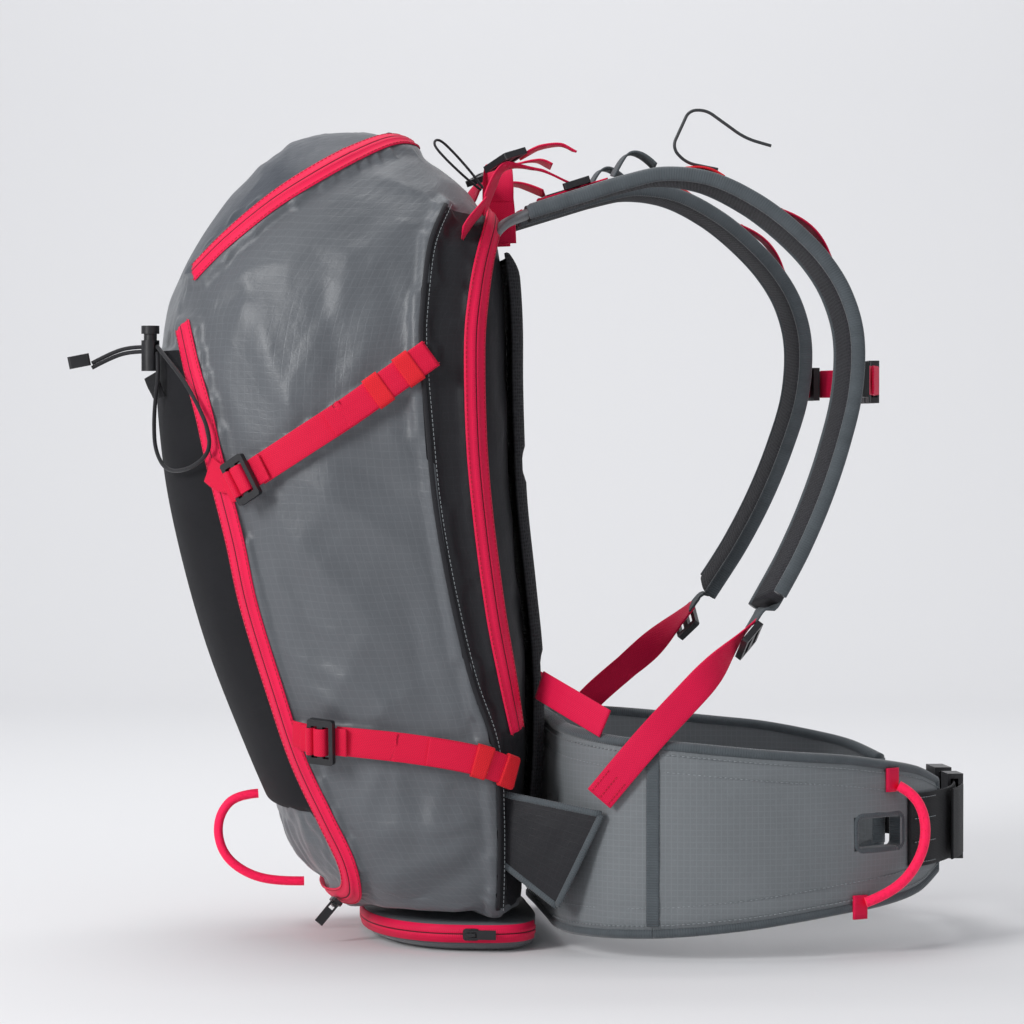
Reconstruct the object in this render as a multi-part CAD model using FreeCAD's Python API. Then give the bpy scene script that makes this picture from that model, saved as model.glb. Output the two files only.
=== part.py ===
import FreeCAD, Part
import math
import os

# Ski touring backpack.  Millimetres, +X towards the wearer, +Y to the wearer's
# left, +Z up, origin at the middle of the flat base.

V = FreeCAD.Vector

# Bag shape: height, outer edge, wearer edge, half width at the middle of the depth
BAG = [
    (20, -74, 44, 106),
    (32, -90, 45, 114),
    (52, -111, 45, 120),
    (92, -130, 45, 125),
    (134, -148, 48, 128),
    (193, -171, 48, 131),
    (246, -187, 43, 134),
    (302, -200, 37, 136),
    (344, -206, 35, 136),
    (386, -209, 34, 134),
    (426, -208, 34, 130),
    (462, -197, 32, 122),
    (489, -182, 28, 112),
    (513, -165, 14, 98),
    (535, -146, -8, 80),
    (552, -127, -32, 58),
    (562, -108, -50, 34),
    (566, -93, -64, 15),
]
OUTER_FULLNESS = 2.3
WEARER_FULLNESS = 3.6
TAPER = 0.12
WALL = 2.5

# Layers over the bag surface: from, to
PANEL = (0.3, 1.5)
ZIP = (1.9, 3.1)
WEBBING = (3.5, 5.1)
KEEPER = (5.4, 6.4)
PAD = (1.9, 8.5)

PAD_HALF = 84.0
PAD_FOOT = 62.0
PAD_TOP = 474.0

ZIP_WIDTH = 17.0
WEBBING_WIDTH = 20.0

# Seen from the side, (x, z)
LID_ZIP = [(-184, 461), (-162, 483), (-130, 509), (-97, 530), (-69, 545), (-48, 553), (-30, 553)]
FRONT_ZIP = [(-192, 424), (-186, 395), (-178, 364), (-171, 332), (-158, 280), (-148, 234),
             (-130, 175), (-115, 130), (-97, 91), (-84, 64), (-79, 46), (-80, 36), (-90, 30)]
REAR_ZIP = [(31, 151), (23, 190), (15, 232), (7, 290), (2, 345), (1, 407), (4, 440), (10, 470),
            (20, 500)]
SIDE_SEAM = [(-28, 477), (-34, 435), (-35, 407), (-31, 351), (-26, 302), (-16, 246), (-2, 188), (14, 140)]
UPPER_STRAP = [(-29, 404), (-54, 386), (-82, 366), (-115, 344), (-156, 316)]
LOWER_STRAP = [(27, 122), (0, 133), (-45, 141), (-104, 147)]
UPPER_LOCK = (-149, 321)
LOWER_LOCK = (-97, 146)
UPPER_ANCHOR = [(-172, 327), (-163, 321), (-147, 322)]
LOWER_ANCHOR = [(-116, 150), (-108, 148), (-97, 146)]

# Base compartment: height, outer edge, wearer edge, half width
BASE = [
    (0, -50, 46, 94),
    (3, -59, 50, 104),
    (7, -65, 51, 109),
    (13, -65, 51, 109),
    (19.5, -65, 51, 109),
]
BASE_ZIP_HEIGHT = 13.0

# Hip belt in plan, right side: x, y, lower edge, upper edge
BELT_THICK = 11.0
BELT_ROOT = [
    (65, 0, 16, 152),
    (65, -45, 16, 152),
    (65, -86, 16, 151),
    (72, -116, 16, 149),
    (90, -143, 17, 146),
    (110, -157, 18, 144),
    (126, -163, 19, 143),
]
BELT_WING = [
    (127, -163.4, 19, 143),
    (150, -168, 21, 141),
    (180, -169, 24, 138),
    (212, -164, 28, 135),
    (245, -153, 32, 132),
    (276, -136, 35, 127),
    (303, -113, 40, 121),
    (322, -88, 50, 112),
]
WING_PIVOT = (126.5, -169.5)

# Shoulder strap centre line, right side
STRAP_WIDTH = 66.0
STRAP_THICK = 11.0
STRAP = [
    (44, -61, 502),
    (76, -64, 512),
    (109, -69, 522),
    (136, -74, 527),
    (166, -79, 523),
    (195, -83, 509),
    (220, -87, 490),
    (241, -90, 468),
    (255, -92, 444),
    (262, -95, 415),
    (260, -98, 379),
    (250, -104, 342),
    (236, -111, 305),
    (219, -119, 270),
    (200, -127, 238),
]


def unit(vector):
    return vector * (1.0 / vector.Length)


def blend(rows, s):
    """Smooth curve through rows of numbers, s counts rows."""
    last = len(rows) - 1
    s = min(max(s, 0.0), float(last))
    i = min(int(s), last - 1)
    f = s - i
    before = rows[max(i - 1, 0)]
    start = rows[i]
    end = rows[i + 1]
    after = rows[min(i + 2, last)]
    out = []
    for p, a, b, q in zip(before, start, end, after):
        out.append(a + 0.5 * f * (b - p + f * (2 * p - 5 * a + 4 * b - q + f * (3 * (a - b) + q - p))))
    return out


def row_at_height(rows, z):
    """Position in rows where the first number reaches z."""
    low = 0.0
    high = len(rows) - 1.0
    for _ in range(40):
        middle = 0.5 * (low + high)
        if blend(rows, middle)[0] < z:
            low = middle
        else:
            high = middle
    return 0.5 * (low + high)


def ring_point(row, turn):
    """Point of one level section; turn 0 faces the wearer, pi faces outwards, right side between."""
    z, outer, wearer, half = row
    c = math.cos(turn)
    d = math.sin(turn)
    power = 2.0 / (WEARER_FULLNESS if c > 0 else OUTER_FULLNESS)
    u = math.copysign(abs(c) ** power, c)
    v = math.copysign(abs(d) ** power, d)
    return V(0.5 * (outer + wearer) + 0.5 * (wearer - outer) * u, -half * v * (1 + TAPER * u), z)


def lifted_row(rows, s, lift):
    """Section numbers of the surface moved outwards by lift."""
    z, outer, wearer, half = blend(rows, s)
    a = blend(rows, s - 0.05)
    b = blend(rows, s + 0.05)
    up = b[0] - a[0]
    grow = 0.25 * ((b[2] - b[1]) - (a[2] - a[1])) + 0.5 * (b[3] - a[3])
    size = math.hypot(up, grow)
    rise = -lift * grow / size
    spread = lift * up / size
    if s <= 0:
        rise = -lift if lift < 0 else 0.0
        spread = lift
    return (z + rise, outer - spread, wearer + spread, half + spread)


def hull(rows, lift, steps=2, points=48):
    """Closed solid through the level sections."""
    even = [float(k) for k in range(points + 1)]
    wires = []
    for i in range(steps * (len(rows) - 1) + 1):
        row = lifted_row(rows, i / steps, lift)
        curve = Part.BSplineCurve()
        ring = [ring_point(row, 2 * math.pi * (k + 0.5) / points) for k in range(points)]
        curve.interpolate(Points=ring, PeriodicFlag=True, Parameters=even)
        wires.append(Part.Wire([curve.toShape()]))
    return Part.makeLoft(wires, True, False)


def surface_place(s, turn):
    """Point and outward normal of the bag surface."""
    point = ring_point(blend(BAG, s), turn)
    along = ring_point(blend(BAG, s), turn + 0.03) - ring_point(blend(BAG, s), turn - 0.03)
    up = ring_point(blend(BAG, s + 0.08), turn) - ring_point(blend(BAG, s - 0.08), turn)
    normal = unit(along.cross(up))
    if normal.dot(point - V(-80, 0, 300)) < 0:
        normal = normal * -1.0
    return point, normal


def side_place(x, z):
    """Position (s, turn) on the right side of the bag of the point seen at x, z."""
    s = row_at_height(BAG, z)
    _, outer, wearer, _ = blend(BAG, s)
    u = (x - 0.5 * (outer + wearer)) / (0.5 * (wearer - outer))
    u = min(max(u, -1.0), 1.0)
    power = 0.5 * (WEARER_FULLNESS if u > 0 else OUTER_FULLNESS)
    return s, math.acos(math.copysign(abs(u) ** power, u))


def side_point(x, z, lift):
    """Point on the right side seen at x, z, moved out by lift."""
    point, normal = surface_place(*side_place(x, z))
    return point + normal * lift


def spaced(points, count):
    """Points at equal distances along a polyline."""
    lengths = [0.0]
    for a, b in zip(points, points[1:]):
        lengths.append(lengths[-1] + (b - a).Length)
    out = []
    i = 0
    for k in range(count):
        goal = lengths[-1] * k / (count - 1)
        while i < len(points) - 2 and lengths[i + 1] < goal:
            i += 1
        f = (goal - lengths[i]) / max(lengths[i + 1] - lengths[i], 1e-9)
        out.append(points[i] + (points[i + 1] - points[i]) * min(max(f, 0.0), 1.0))
    return out


def smooth_line(rows, count):
    """Equally spaced points on the smooth curve through rows of x, y, z."""
    dense = [V(*blend(rows, i / 12.0)) for i in range(12 * (len(rows) - 1) + 1)]
    return spaced(dense, count)


def directions(points):
    out = []
    last = len(points) - 1
    for i in range(len(points)):
        out.append(unit(points[min(i + 1, last)] - points[max(i - 1, 0)]))
    return out


def surface_line(outline, count, across=False):
    """Frames (point, along, normal) on the right side, or right over the middle to the left side."""
    places = []
    for i in range(16 * (len(outline) - 1) + 1):
        x, z = blend(outline, i / 16.0)
        places.append(side_place(x, z))
    if across:
        places[-1] = (places[-1][0], 0.0 if places[-1][1] < 1.5 else math.pi)
        turn_over = 2 * places[-1][1]
        places += [(s, turn_over - t) for s, t in reversed(places[:-1])]
    lengths = [0.0]
    spots = [surface_place(s, t)[0] for s, t in places]
    for a, b in zip(spots, spots[1:]):
        lengths.append(lengths[-1] + (b - a).Length)
    frames = []
    i = 0
    for k in range(count):
        goal = lengths[-1] * k / (count - 1)
        while i < len(places) - 2 and lengths[i + 1] < goal:
            i += 1
        f = (goal - lengths[i]) / max(lengths[i + 1] - lengths[i], 1e-9)
        s = places[i][0] + f * (places[i + 1][0] - places[i][0])
        t = places[i][1] + f * (places[i + 1][1] - places[i][1])
        frames.append(surface_place(s, t))
    heading = directions([point for point, normal in frames])
    return [(point, along, normal) for (point, normal), along in zip(frames, heading)]


def strip(frames, width, low, high):
    """Flat band through frames, its thickness from low to high along the normal."""
    wires = []
    for point, along, normal in frames:
        across = unit(normal.cross(along)) * (0.5 * width)
        corners = [point + across + normal * low, point + across + normal * high,
                   point - across + normal * high, point - across + normal * low]
        wires.append(Part.makePolygon(corners + corners[:1]))
    return Part.makeLoft(wires, True, False)


def line_frames(rows, normal, count):
    """Frames along a smooth curve, normals kept square to it and close to the one given."""
    points = smooth_line(rows, count)
    frames = []
    for point, along in zip(points, directions(points)):
        frames.append((point, along, unit(normal - along * normal.dot(along))))
    return frames


def width_frames(rows, across, count):
    """Frames along a smooth curve whose width stays close to the direction given."""
    points = smooth_line(rows, count)
    frames = []
    for point, along in zip(points, directions(points)):
        frames.append((point, along, unit(along.cross(across))))
    return frames


def placed(shape, origin, along, normal):
    """Shape drawn with x along, z out, moved to origin."""
    n = unit(normal - along * normal.dot(along))
    y = n.cross(along)
    matrix = FreeCAD.Matrix(along.x, y.x, n.x, origin.x, along.y, y.y, n.y, origin.y,
                            along.z, y.z, n.z, origin.z, 0, 0, 0, 1)
    out = shape.copy()
    out.Placement = FreeCAD.Placement(matrix)
    return out


def mirrored(shape):
    return shape.mirror(V(0, 0, 0), V(0, 1, 0))


def both(shape):
    return Part.makeCompound([shape, mirrored(shape)])


def centred_box(length, width, height, low=0.0):
    return Part.makeBox(length, width, height, V(-0.5 * length, -0.5 * width, low))


def rounded_box(length, width, height, radius, low=0.0):
    """Block with its four upright edges rounded."""
    block = centred_box(length, width, height, low)
    upright = [e for e in block.Edges if abs(e.Vertexes[0].Z - e.Vertexes[-1].Z) > 0.5 * height]
    return block.makeFillet(radius, upright)


def side_prism(outline):
    """Everything behind a side outline, right across the pack."""
    points = [V(x, -300, z) for x, z in outline]
    return Part.Face(Part.makePolygon(points + points[:1])).extrude(V(0, 600, 0))


def tube(points, diameter, name):
    """Round cord along straight runs joined by tangent arcs; prints its radii and length."""
    edges = []
    start = points[0]
    radii = []
    for before, corner, after in zip(points, points[1:], points[2:]):
        back = unit(before - corner)
        ahead = unit(after - corner)
        run = 0.45 * min((before - corner).Length, (after - corner).Length)
        half_turn = 0.5 * (math.pi - back.getAngle(ahead))
        radius = run / math.tan(half_turn)
        radii.append(radius)
        first = corner + back * run
        second = corner + ahead * run
        middle_way = unit(back + ahead)
        to_centre = math.hypot(run, radius)
        middle = corner + middle_way * (to_centre - radius)
        edges.append(Part.makeLine(start, first))
        edges.append(Part.Arc(first, middle, second).toShape())
        start = second
    edges.append(Part.makeLine(start, points[-1]))
    path = Part.Wire(edges)
    circle = Part.Wire([Part.makeCircle(0.5 * diameter, points[0], unit(points[1] - points[0]))])
    solid = path.makePipeShell([circle], True, False)
    expected = path.Length * math.pi * diameter * diameter / 4
    print(name, "length", round(path.Length, 1), "least radius", round(min(radii), 1),
          "volume ratio", round(solid.Volume / expected, 3))
    return solid


def save(name, shape):
    bad = "" if shape.isValid() else " NOT VALID"
    print(name, "solids", len(shape.Solids), "volume", round(shape.Volume), bad)
    shape.exportStep("parts/" + name + ".step")


# ---------------------------------------------------------------- bag

def shell(layer):
    return hull(BAG, layer[1]).cut(hull(BAG, layer[0]))


PANEL_SHELL = shell(PANEL)


def bag_layer(outline):
    """Fabric panel over the bag inside a side outline."""
    return PANEL_SHELL.common(side_prism(outline))


def bag_body():
    return hull(BAG, 0.0).cut(hull(BAG, -WALL))


def lid_pocket():
    return bag_layer(LID_ZIP[:-1] + [(-40, 580), (-240, 580), (-240, 461)])


def front_panel():
    return bag_layer([(-240, 408), (-188, 408)] + FRONT_ZIP[2:8] + [(-101, 97), (-160, 92), (-240, 92)])


def lower_front_pocket():
    return bag_layer([(-240, 91), (-160, 91), (-101, 96), (-96, 88), (-86, 64), (-82, 46),
                      (-86, 37), (-240, 33)])


def rear_gusset():
    return bag_layer(SIDE_SEAM + [(22, 40), (90, 40), (90, 484), (-5, 484)])


def back_panel():
    return shell(PAD).common(Part.makeBox(120, 2 * PAD_HALF, PAD_TOP - PAD_FOOT, V(0, -PAD_HALF, PAD_FOOT)))


def base_compartment():
    return hull(BASE, 0.0).cut(hull(BASE, -WALL).common(Part.makeBox(400, 400, 40, V(-200, -200, WALL))))


def rear_line(depth):
    """Centre line inside the wearer side of the bag."""
    rows = []
    for z in (60, 130, 200, 270, 340, 410, 460):
        wearer = blend(BAG, row_at_height(BAG, z))[2]
        rows.append((wearer - depth, 0, z))
    return rows


def frame_sheet():
    return strip(line_frames(rear_line(13.5), V(1, 0, 0), 15), 170, -0.75, 0.75)


def frame_stay():
    return strip(line_frames(rear_line(18.0), V(1, 0, 0), 15), 25, -1.5, 1.5)


# ---------------------------------------------------------------- zips

def base_frames(count, lift_height):
    """Frames round the outer side of the base compartment, from the right wearer corner to the left."""
    row = blend(BASE, row_at_height(BASE, lift_height))
    spots = [ring_point(row, 0.62 + (2 * math.pi - 1.24) * i / 160.0) for i in range(161)]
    points = spaced(spots, count)
    frames = []
    for point, along in zip(points, directions(points)):
        frames.append((point, along, unit(V(0, 0, 1).cross(along))))
    return frames


def base_zip():
    return strip(base_frames(60, BASE_ZIP_HEIGHT), 12.0, 0.8, 2.0)


def slider():
    """Zip slider: body with a bridge that holds the pull."""
    body = rounded_box(11, 8, 2.6, 2.0)
    bridge = centred_box(6, 2.4, 2.6, 2.6).cut(centred_box(3.4, 2.4, 1.6, 2.6))
    return body.fuse(bridge)


def pull(length):
    """Pull hanging along x: pin through the slider bridge, two arms and a tab."""
    out = Part.makeCylinder(0.6, 6.4, V(0, -3.2, 0), V(0, 1, 0))
    for y in (-3.2, 1.8):
        out = out.fuse(Part.makeBox(5.6, 1.4, 1.2, V(-0.6, y, -0.6)))
    return out.fuse(Part.makeBox(length - 4.2, 6.4, 1.2, V(4.2, -3.2, -0.6)))


# ---------------------------------------------------------------- compression straps

def compression_strap(outline, count):
    return strip(surface_line(outline, count), WEBBING_WIDTH, *WEBBING)


def strap_anchor(outline):
    """Short webbing that holds a ladder lock."""
    return strip(surface_line(outline, 6), WEBBING_WIDTH - 2, 5.4, 6.8)


def ladder_lock_shape(width=31.0, length=19.0, thick=4.4):
    """Ladder lock: frame with two slots either side of a middle bar."""
    frame = rounded_box(length, width, thick, 2.0)
    slot = centred_box(4.6, width - 9, thick + 2, -1)
    for x in (-4.3, 4.3):
        frame = frame.cut(slot.translated(V(x, 0, 0)))
    return frame


def on_strap(shape, spot, outline, lift):
    """Shape set down on the strap line, lifted off the bag."""
    frames = surface_line(outline, 80)
    best = min(frames, key=lambda f: math.hypot(f[0].x - spot[0], f[0].z - spot[1]))
    point, along, normal = best
    return placed(shape, point + normal * lift, along, normal)


def ladder_locks():
    locks = []
    for spot, outline in ((UPPER_LOCK, UPPER_STRAP), (LOWER_LOCK, LOWER_STRAP)):
        lock = on_strap(ladder_lock_shape(), spot, outline, 7.2)
        locks += [lock, mirrored(lock)]
    return Part.makeCompound(locks)


def strap_keepers():
    """Elastic bands that hold the loose strap ends."""
    bands = []
    for spot, outline in (((-44, 393), UPPER_STRAP), ((-63, 379), UPPER_STRAP), ((22, 124), LOWER_STRAP)):
        band = on_strap(centred_box(9, WEBBING_WIDTH + 2, 1.0), spot, outline, KEEPER[0])
        bands += [band, mirrored(band)]
    return Part.makeCompound(bands)


# ---------------------------------------------------------------- hip belt

def belt_wall(rows, count):
    """Padded belt as an upright wall through plan points with its two edge heights."""
    wires = []
    dense = [blend(rows, i / 10.0) for i in range(10 * (len(rows) - 1) + 1)]
    picked = dense[::max(1, len(dense) // count)]
    if picked[-1] != dense[-1]:
        picked[-1] = dense[-1]
    plan = [V(x, y, 0) for x, y, low, high in picked]
    for (x, y, low, high), along in zip(picked, directions(plan)):
        side = V(-along.y, along.x, 0) * (0.5 * BELT_THICK)
        corners = [V(x, y, low) - side, V(x, y, high) - side, V(x, y, high) + side, V(x, y, low) + side]
        wires.append(Part.makePolygon(corners + corners[:1]))
    return Part.makeLoft(wires, True, False)


def belt_place(row, out):
    """Point on the outer side of the wing at a row number, with the direction along the belt."""
    x, y, low, high = blend(BELT_WING, row)
    a = blend(BELT_WING, row - 0.05)
    b = blend(BELT_WING, row + 0.05)
    along = unit(V(b[0] - a[0], b[1] - a[1], 0))
    outwards = V(along.y, -along.x, 0)
    return V(x, y, 0) + outwards * (0.5 * BELT_THICK + out), along, outwards


def lumbar_pad():
    rows = [(x, -y, low, high) for x, y, low, high in reversed(BELT_ROOT[1:])] + BELT_ROOT
    return belt_wall(rows, 40)


def hip_wing():
    slot = Part.makeBox(36, 80, 24, V(254, -190, 70))
    return belt_wall(BELT_WING, 24).cut(slot)


def gear_loop():
    route = []
    for row, height, out in ((5.2, 113, 4.6), (5.35, 108, 13), (5.45, 92, 20), (5.4, 72, 21),
                             (5.1, 53, 18), (4.7, 41, 11), (4.4, 36.5, 4.6)):
        point, _, _ = belt_place(row, out)
        route.append(V(point.x, point.y, height))
    return tube(route, 7.0, "gear_loop")


HIP_WEBBING_WIDTH = 50.0
HIP_WEBBING_MIDDLE = 81.0
HIP_WEBBING = [(331, -86), (339, -70), (347, -48), (351, -30)]
HIP_RIGHT_END = (351.8, -18.5)
HIP_LEFT_END = (351.6, -30.5)


def hip_webbing(end):
    """Wide webbing from the wing to its buckle half."""
    plan = [belt_place(5.6, 3.0)[0], belt_place(6.4, 3.0)[0]]
    rows = [(p.x, p.y, HIP_WEBBING_MIDDLE) for p in plan]
    rows += [(x, y, HIP_WEBBING_MIDDLE) for x, y in HIP_WEBBING if y < end[1] - 8]
    rows.append((end[0], end[1], HIP_WEBBING_MIDDLE))
    return strip(level_frames(rows, 30), HIP_WEBBING_WIDTH, -0.9, 0.9)


def level_frames(rows, count):
    """Frames along a level line with their width upright."""
    points = smooth_line(rows, count)
    return [(point, along, V(along.y, -along.x, 0)) for point, along in zip(points, directions(points))]


def hip_tail():
    rows = [(x + 6, y, HIP_WEBBING_MIDDLE) for x, y in HIP_WEBBING[:3]]
    return strip(level_frames(rows, 12), HIP_WEBBING_WIDTH, -0.9, 0.9)


def hip_buckle_male():
    """Side release buckle half with two spring prongs, webbing slot through its body."""
    body = Part.makeBox(11, 22, 60, V(346.5, -32, 51))
    body = body.cut(Part.makeBox(5.6, 30, 53, V(348.4, -36, 54.5)))
    for z in (54, 76, 98):
        body = body.fuse(Part.makeBox(4, 17, 10, V(350, -11, z)))
    return body


def hip_buckle_female():
    body = Part.makeBox(12, 30, 62, V(346, 7, 50))
    body = body.cut(Part.makeBox(6, 20, 56, V(349, 6, 53)))
    return body.cut(Part.makeBox(6.2, 18, 53, V(347.8, 26, 54.5)))


# ---------------------------------------------------------------- shoulder straps

def shoulder_strap():
    return strip(width_frames(STRAP, V(0, 1, 0), 40), STRAP_WIDTH, -0.5 * STRAP_THICK, 0.5 * STRAP_THICK)


def strap_spot(row):
    """Frame on the outer face of the shoulder strap at a row number."""
    point = V(*blend(STRAP, row))
    along = unit(V(*blend(STRAP, row + 0.1)) - V(*blend(STRAP, row - 0.1)))
    return point, along, unit(along.cross(V(0, 1, 0)))


def strap_outside(row, lift):
    point, along, normal = strap_spot(row)
    return point + normal * (0.5 * STRAP_THICK + lift)


def strap_band(first, last, width, lift, arch=0.0):
    """Webbing on the outer face of the shoulder strap between two row numbers, arched if asked."""
    rows = []
    for i in range(9):
        raised = lift + arch * math.sin(math.pi * i / 8.0)
        rows.append(tuple(strap_outside(first + (last - first) * i / 8.0, raised)))
    return strip(width_frames(rows, V(0, 1, 0), 14), width, -0.8, 0.8)


def strap_webbing_frames():
    """Webbing from the end of the shoulder strap back to the gusset tab, turning to face sideways."""
    rows = [(191, -132, 225), (157, -150, 190), (120, -168, 155), (101, -165.5, 133), (82, -155, 108)]
    points = smooth_line(rows, 24)
    frames = []
    for i, (point, along) in enumerate(zip(points, directions(points))):
        turned = min(i / 10.0, 1.0)
        facing = V(0.84, 0, -0.5) * (1 - turned) + V(-0.25, -0.95, 0) * turned
        frames.append((point, along, unit(facing - along * facing.dot(along))))
    return frames


def lower_webbing():
    strap = strip(strap_webbing_frames(), WEBBING_WIDTH, -0.8, 0.8)
    start = side_point(41, 180, 8.0)
    rows = [tuple(start), (62, -121, 172), (87, -147, 157)]
    stabiliser = strip(line_frames(rows, V(-0.5, -0.87, 0), 10), WEBBING_WIDTH, -0.8, 0.8)
    return Part.makeCompound([strap, stabiliser, mirrored(strap), mirrored(stabiliser)])


def gusset_tabs():
    """Triangular fabric tab between the bag side and the belt root."""
    start = V(31, -121, 0)
    run = unit(V(53, -31, 0))
    points = []
    for x, z in ((31, 105), (66, 105), (84, 97), (54, 36)):
        points.append(start + run * ((x - 31) / run.x) + V(0, 0, z))
    face = Part.Face(Part.makePolygon(points + points[:1]))
    return both(face.extrude(V(-run.y, run.x, 0) * 1.6))


def load_lifter_line():
    start = side_point(5, 500, 9.0)
    end = strap_outside(0.95, 8.6)
    return [tuple(start), (26, -79, 531), (50, -70, 532), tuple(end)]


def load_lifters():
    """Lifter webbing with its loose end, and the webbing sewn along the strap."""
    lifter = strip(width_frames(load_lifter_line(), V(0.3, 1, 0), 24), WEBBING_WIDTH, -0.8, 0.8)
    loose = [(40, -74, 541), (52, -71, 547), (66, -69, 549), (76, -68, 545)]
    tail = strip(width_frames(loose, V(0.2, 1, 0), 12), WEBBING_WIDTH, -0.8, 0.8)
    sewn = strap_band(0.35, 1.75, WEBBING_WIDTH, 1.2)
    return Part.makeCompound([both(lifter), both(tail), both(sewn)])


def webbing_locks():
    """Ladder locks on the load lifters, on the straps and at the strap ends."""
    frames = width_frames(load_lifter_line(), V(0.3, 1, 0), 60)
    point, along, normal = min(frames, key=lambda f: abs(f[0].x - 29))
    upper = placed(ladder_lock_shape(), point + normal * 3.4, along, normal)
    point, along, normal = strap_spot(1.15)
    middle = placed(ladder_lock_shape(), point + normal * (0.5 * STRAP_THICK + 2.4), along, normal)
    point, along, normal = strap_webbing_frames()[2]
    lower = placed(ladder_lock_shape(), point + normal * 3.4, along, normal)
    return Part.makeCompound([both(upper), both(middle), both(lower)])


def wire_hook():
    y = strap_spot(3.9)[0].y
    route = [V(x, y, z) for x, z in ((174, 532.5), (152, 536.8), (142, 547), (154, 573), (166, 573),
                                     (193, 554), (211, 549))]
    return tube(route, 2.2, "wire_hook")


# ---------------------------------------------------------------- chest strap

STERNUM_HEIGHT = 388.0
STERNUM_LINE = [
    (277, -84, STERNUM_HEIGHT),
    (285.5, -60, STERNUM_HEIGHT),
    (293, -34, STERNUM_HEIGHT),
    (296, -13.5, STERNUM_HEIGHT),
]
STERNUM_OTHER = [
    (296, 16, STERNUM_HEIGHT),
    (293, 40, STERNUM_HEIGHT),
    (285.5, 62, STERNUM_HEIGHT),
    (277, 84, STERNUM_HEIGHT),
]


def sternum_rails():
    return both(strap_band(8.8, 10.9, 10, 1.2))


def sternum_sliders():
    """Flat loops that ride on the rails and carry the chest webbing."""
    body = centred_box(4.4, 26, 24).translated(V(272.8, -90, STERNUM_HEIGHT - 12))
    return both(body)


def sternum_webbing():
    strap = strip(level_frames(STERNUM_LINE, 16), WEBBING_WIDTH, -0.8, 0.8)
    folded = [(x + 4.2, y, z) for x, y, z in STERNUM_LINE[:3]]
    tail = strip(level_frames(folded[:2] + [(291, -48, STERNUM_HEIGHT)], 8), WEBBING_WIDTH, -0.8, 0.8)
    other = strip(level_frames(STERNUM_OTHER, 14), WEBBING_WIDTH, -0.8, 0.8)
    return Part.makeCompound([strap, tail, other])


def buckle_male(width, length, thick, prong, play):
    """Side release half: block with a webbing slot and two prongs towards +y, front face of it at y 0."""
    block = rounded_box(thick, length, width, 2.0).translated(V(0, -0.5 * length, -0.5 * width))
    slot = centred_box(play, length + 2, width - 8).translated(V(0, -0.5 * length, 4 - 0.5 * width))
    out = block.cut(slot)
    for z in (-0.5 * width + 3, 0.5 * width - 8):
        out = out.fuse(Part.makeBox(0.4 * thick, prong, 5, V(-0.2 * thick, -1, z)))
    return out


def buckle_female(width, length, thick, play):
    """Side release half: hollow block open towards -y, back face of it at y length."""
    block = rounded_box(thick, length, width, 2.0).translated(V(0, 0.5 * length, -0.5 * width))
    pocket = centred_box(0.62 * thick, 0.62 * length, width - 4.4)
    out = block.cut(pocket.translated(V(0, 0.3 * length, -0.5 * width + 2.2)))
    slot = centred_box(play, length, width - 8)
    return out.cut(slot.translated(V(0, 1.05 * length, 4 - 0.5 * width)))


def sternum_male():
    return buckle_male(30, 13, 7.5, 12, 4.6).translated(V(296, -6, STERNUM_HEIGHT))


def sternum_female():
    return buckle_female(30, 24, 8, 4.6).translated(V(296, -4, STERNUM_HEIGHT))


# ---------------------------------------------------------------- loops and cords

def haul_loop():
    rows = [(30, -20, 513), (30, -20, 524), (30, -13, 536), (30, 0, 540), (30, 13, 536), (30, 20, 524),
            (30, 20, 513)]
    return strip(width_frames(rows, V(1, 0, 0), 28), 18, -0.9, 0.9)


AXE_LOOP = [(-139, 99), (-154, 98), (-165, 87), (-168, 71), (-162, 54), (-146, 42), (-126, 37), (-107, 37)]
AXE_LOOP_SIZE = 6.5


def axe_loop():
    return tube([V(x, 0, z) for x, z in AXE_LOOP], AXE_LOOP_SIZE, "axe_loop")


LOCK_CENTRE = V(-214, -42, 409)
HOLE_WAY = V(0.66, -0.751, 0)
BUNGEE_SIZE = 2.8


def cord_lock_body():
    body = Part.makeCylinder(6.2, 21, LOCK_CENTRE + V(0, 0, -15))
    body = body.cut(Part.makeCylinder(4.8, 20, LOCK_CENTRE + V(0, 0, -13)))
    return body.cut(lock_hole(9.0))


def lock_hole(height):
    return placed(centred_box(30, 3.6, height), LOCK_CENTRE + V(0, 0, -4), HOLE_WAY, V(0, 0, 1))


def cord_lock_button():
    stem = Part.makeCylinder(4.5, 11, LOCK_CENTRE + V(0, 0, -4.6))
    cap = Part.makeCylinder(6.2, 5.5, LOCK_CENTRE + V(0, 0, 10.5))
    neck = Part.makeCylinder(4.5, 6, LOCK_CENTRE + V(0, 0, 5))
    return stem.fuse(neck).fuse(cap).cut(lock_hole(6.0).translated(V(0, 0, 1)))


def cord_lock_spring():
    """Spring under the button, drawn as flat turns joined by a thin post."""
    foot = LOCK_CENTRE + V(0, 0, -12.8)
    spring = Part.makeBox(0.8, 0.8, 7.0, foot + V(2.6, -0.4, 0))
    for turn in range(4):
        level = foot + V(0, 0, 0.2 + 1.9 * turn)
        spring = spring.fuse(Part.makeCylinder(3.5, 0.8, level).cut(Part.makeCylinder(2.5, 0.8, level)))
    return spring


def bungee_route():
    start = LOCK_CENTRE + HOLE_WAY * 7.2 + V(0, 0, 1.6)
    down = [(-196, 402), (-186, 388), (-177, 371), (-170, 354), (-169, 338)]
    back = [(-182, 327), (-196, 326), (-203, 340), (-204, 358), (-203, 376), (-201, 393)]
    out = [start] + [side_point(x, z, 8.0) for x, z in down]
    out += [side_point(x, z, 8.0) for x, z in back]
    out.append(LOCK_CENTRE + HOLE_WAY * 7.2 + V(0, 0, -2.4))
    return out


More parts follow.
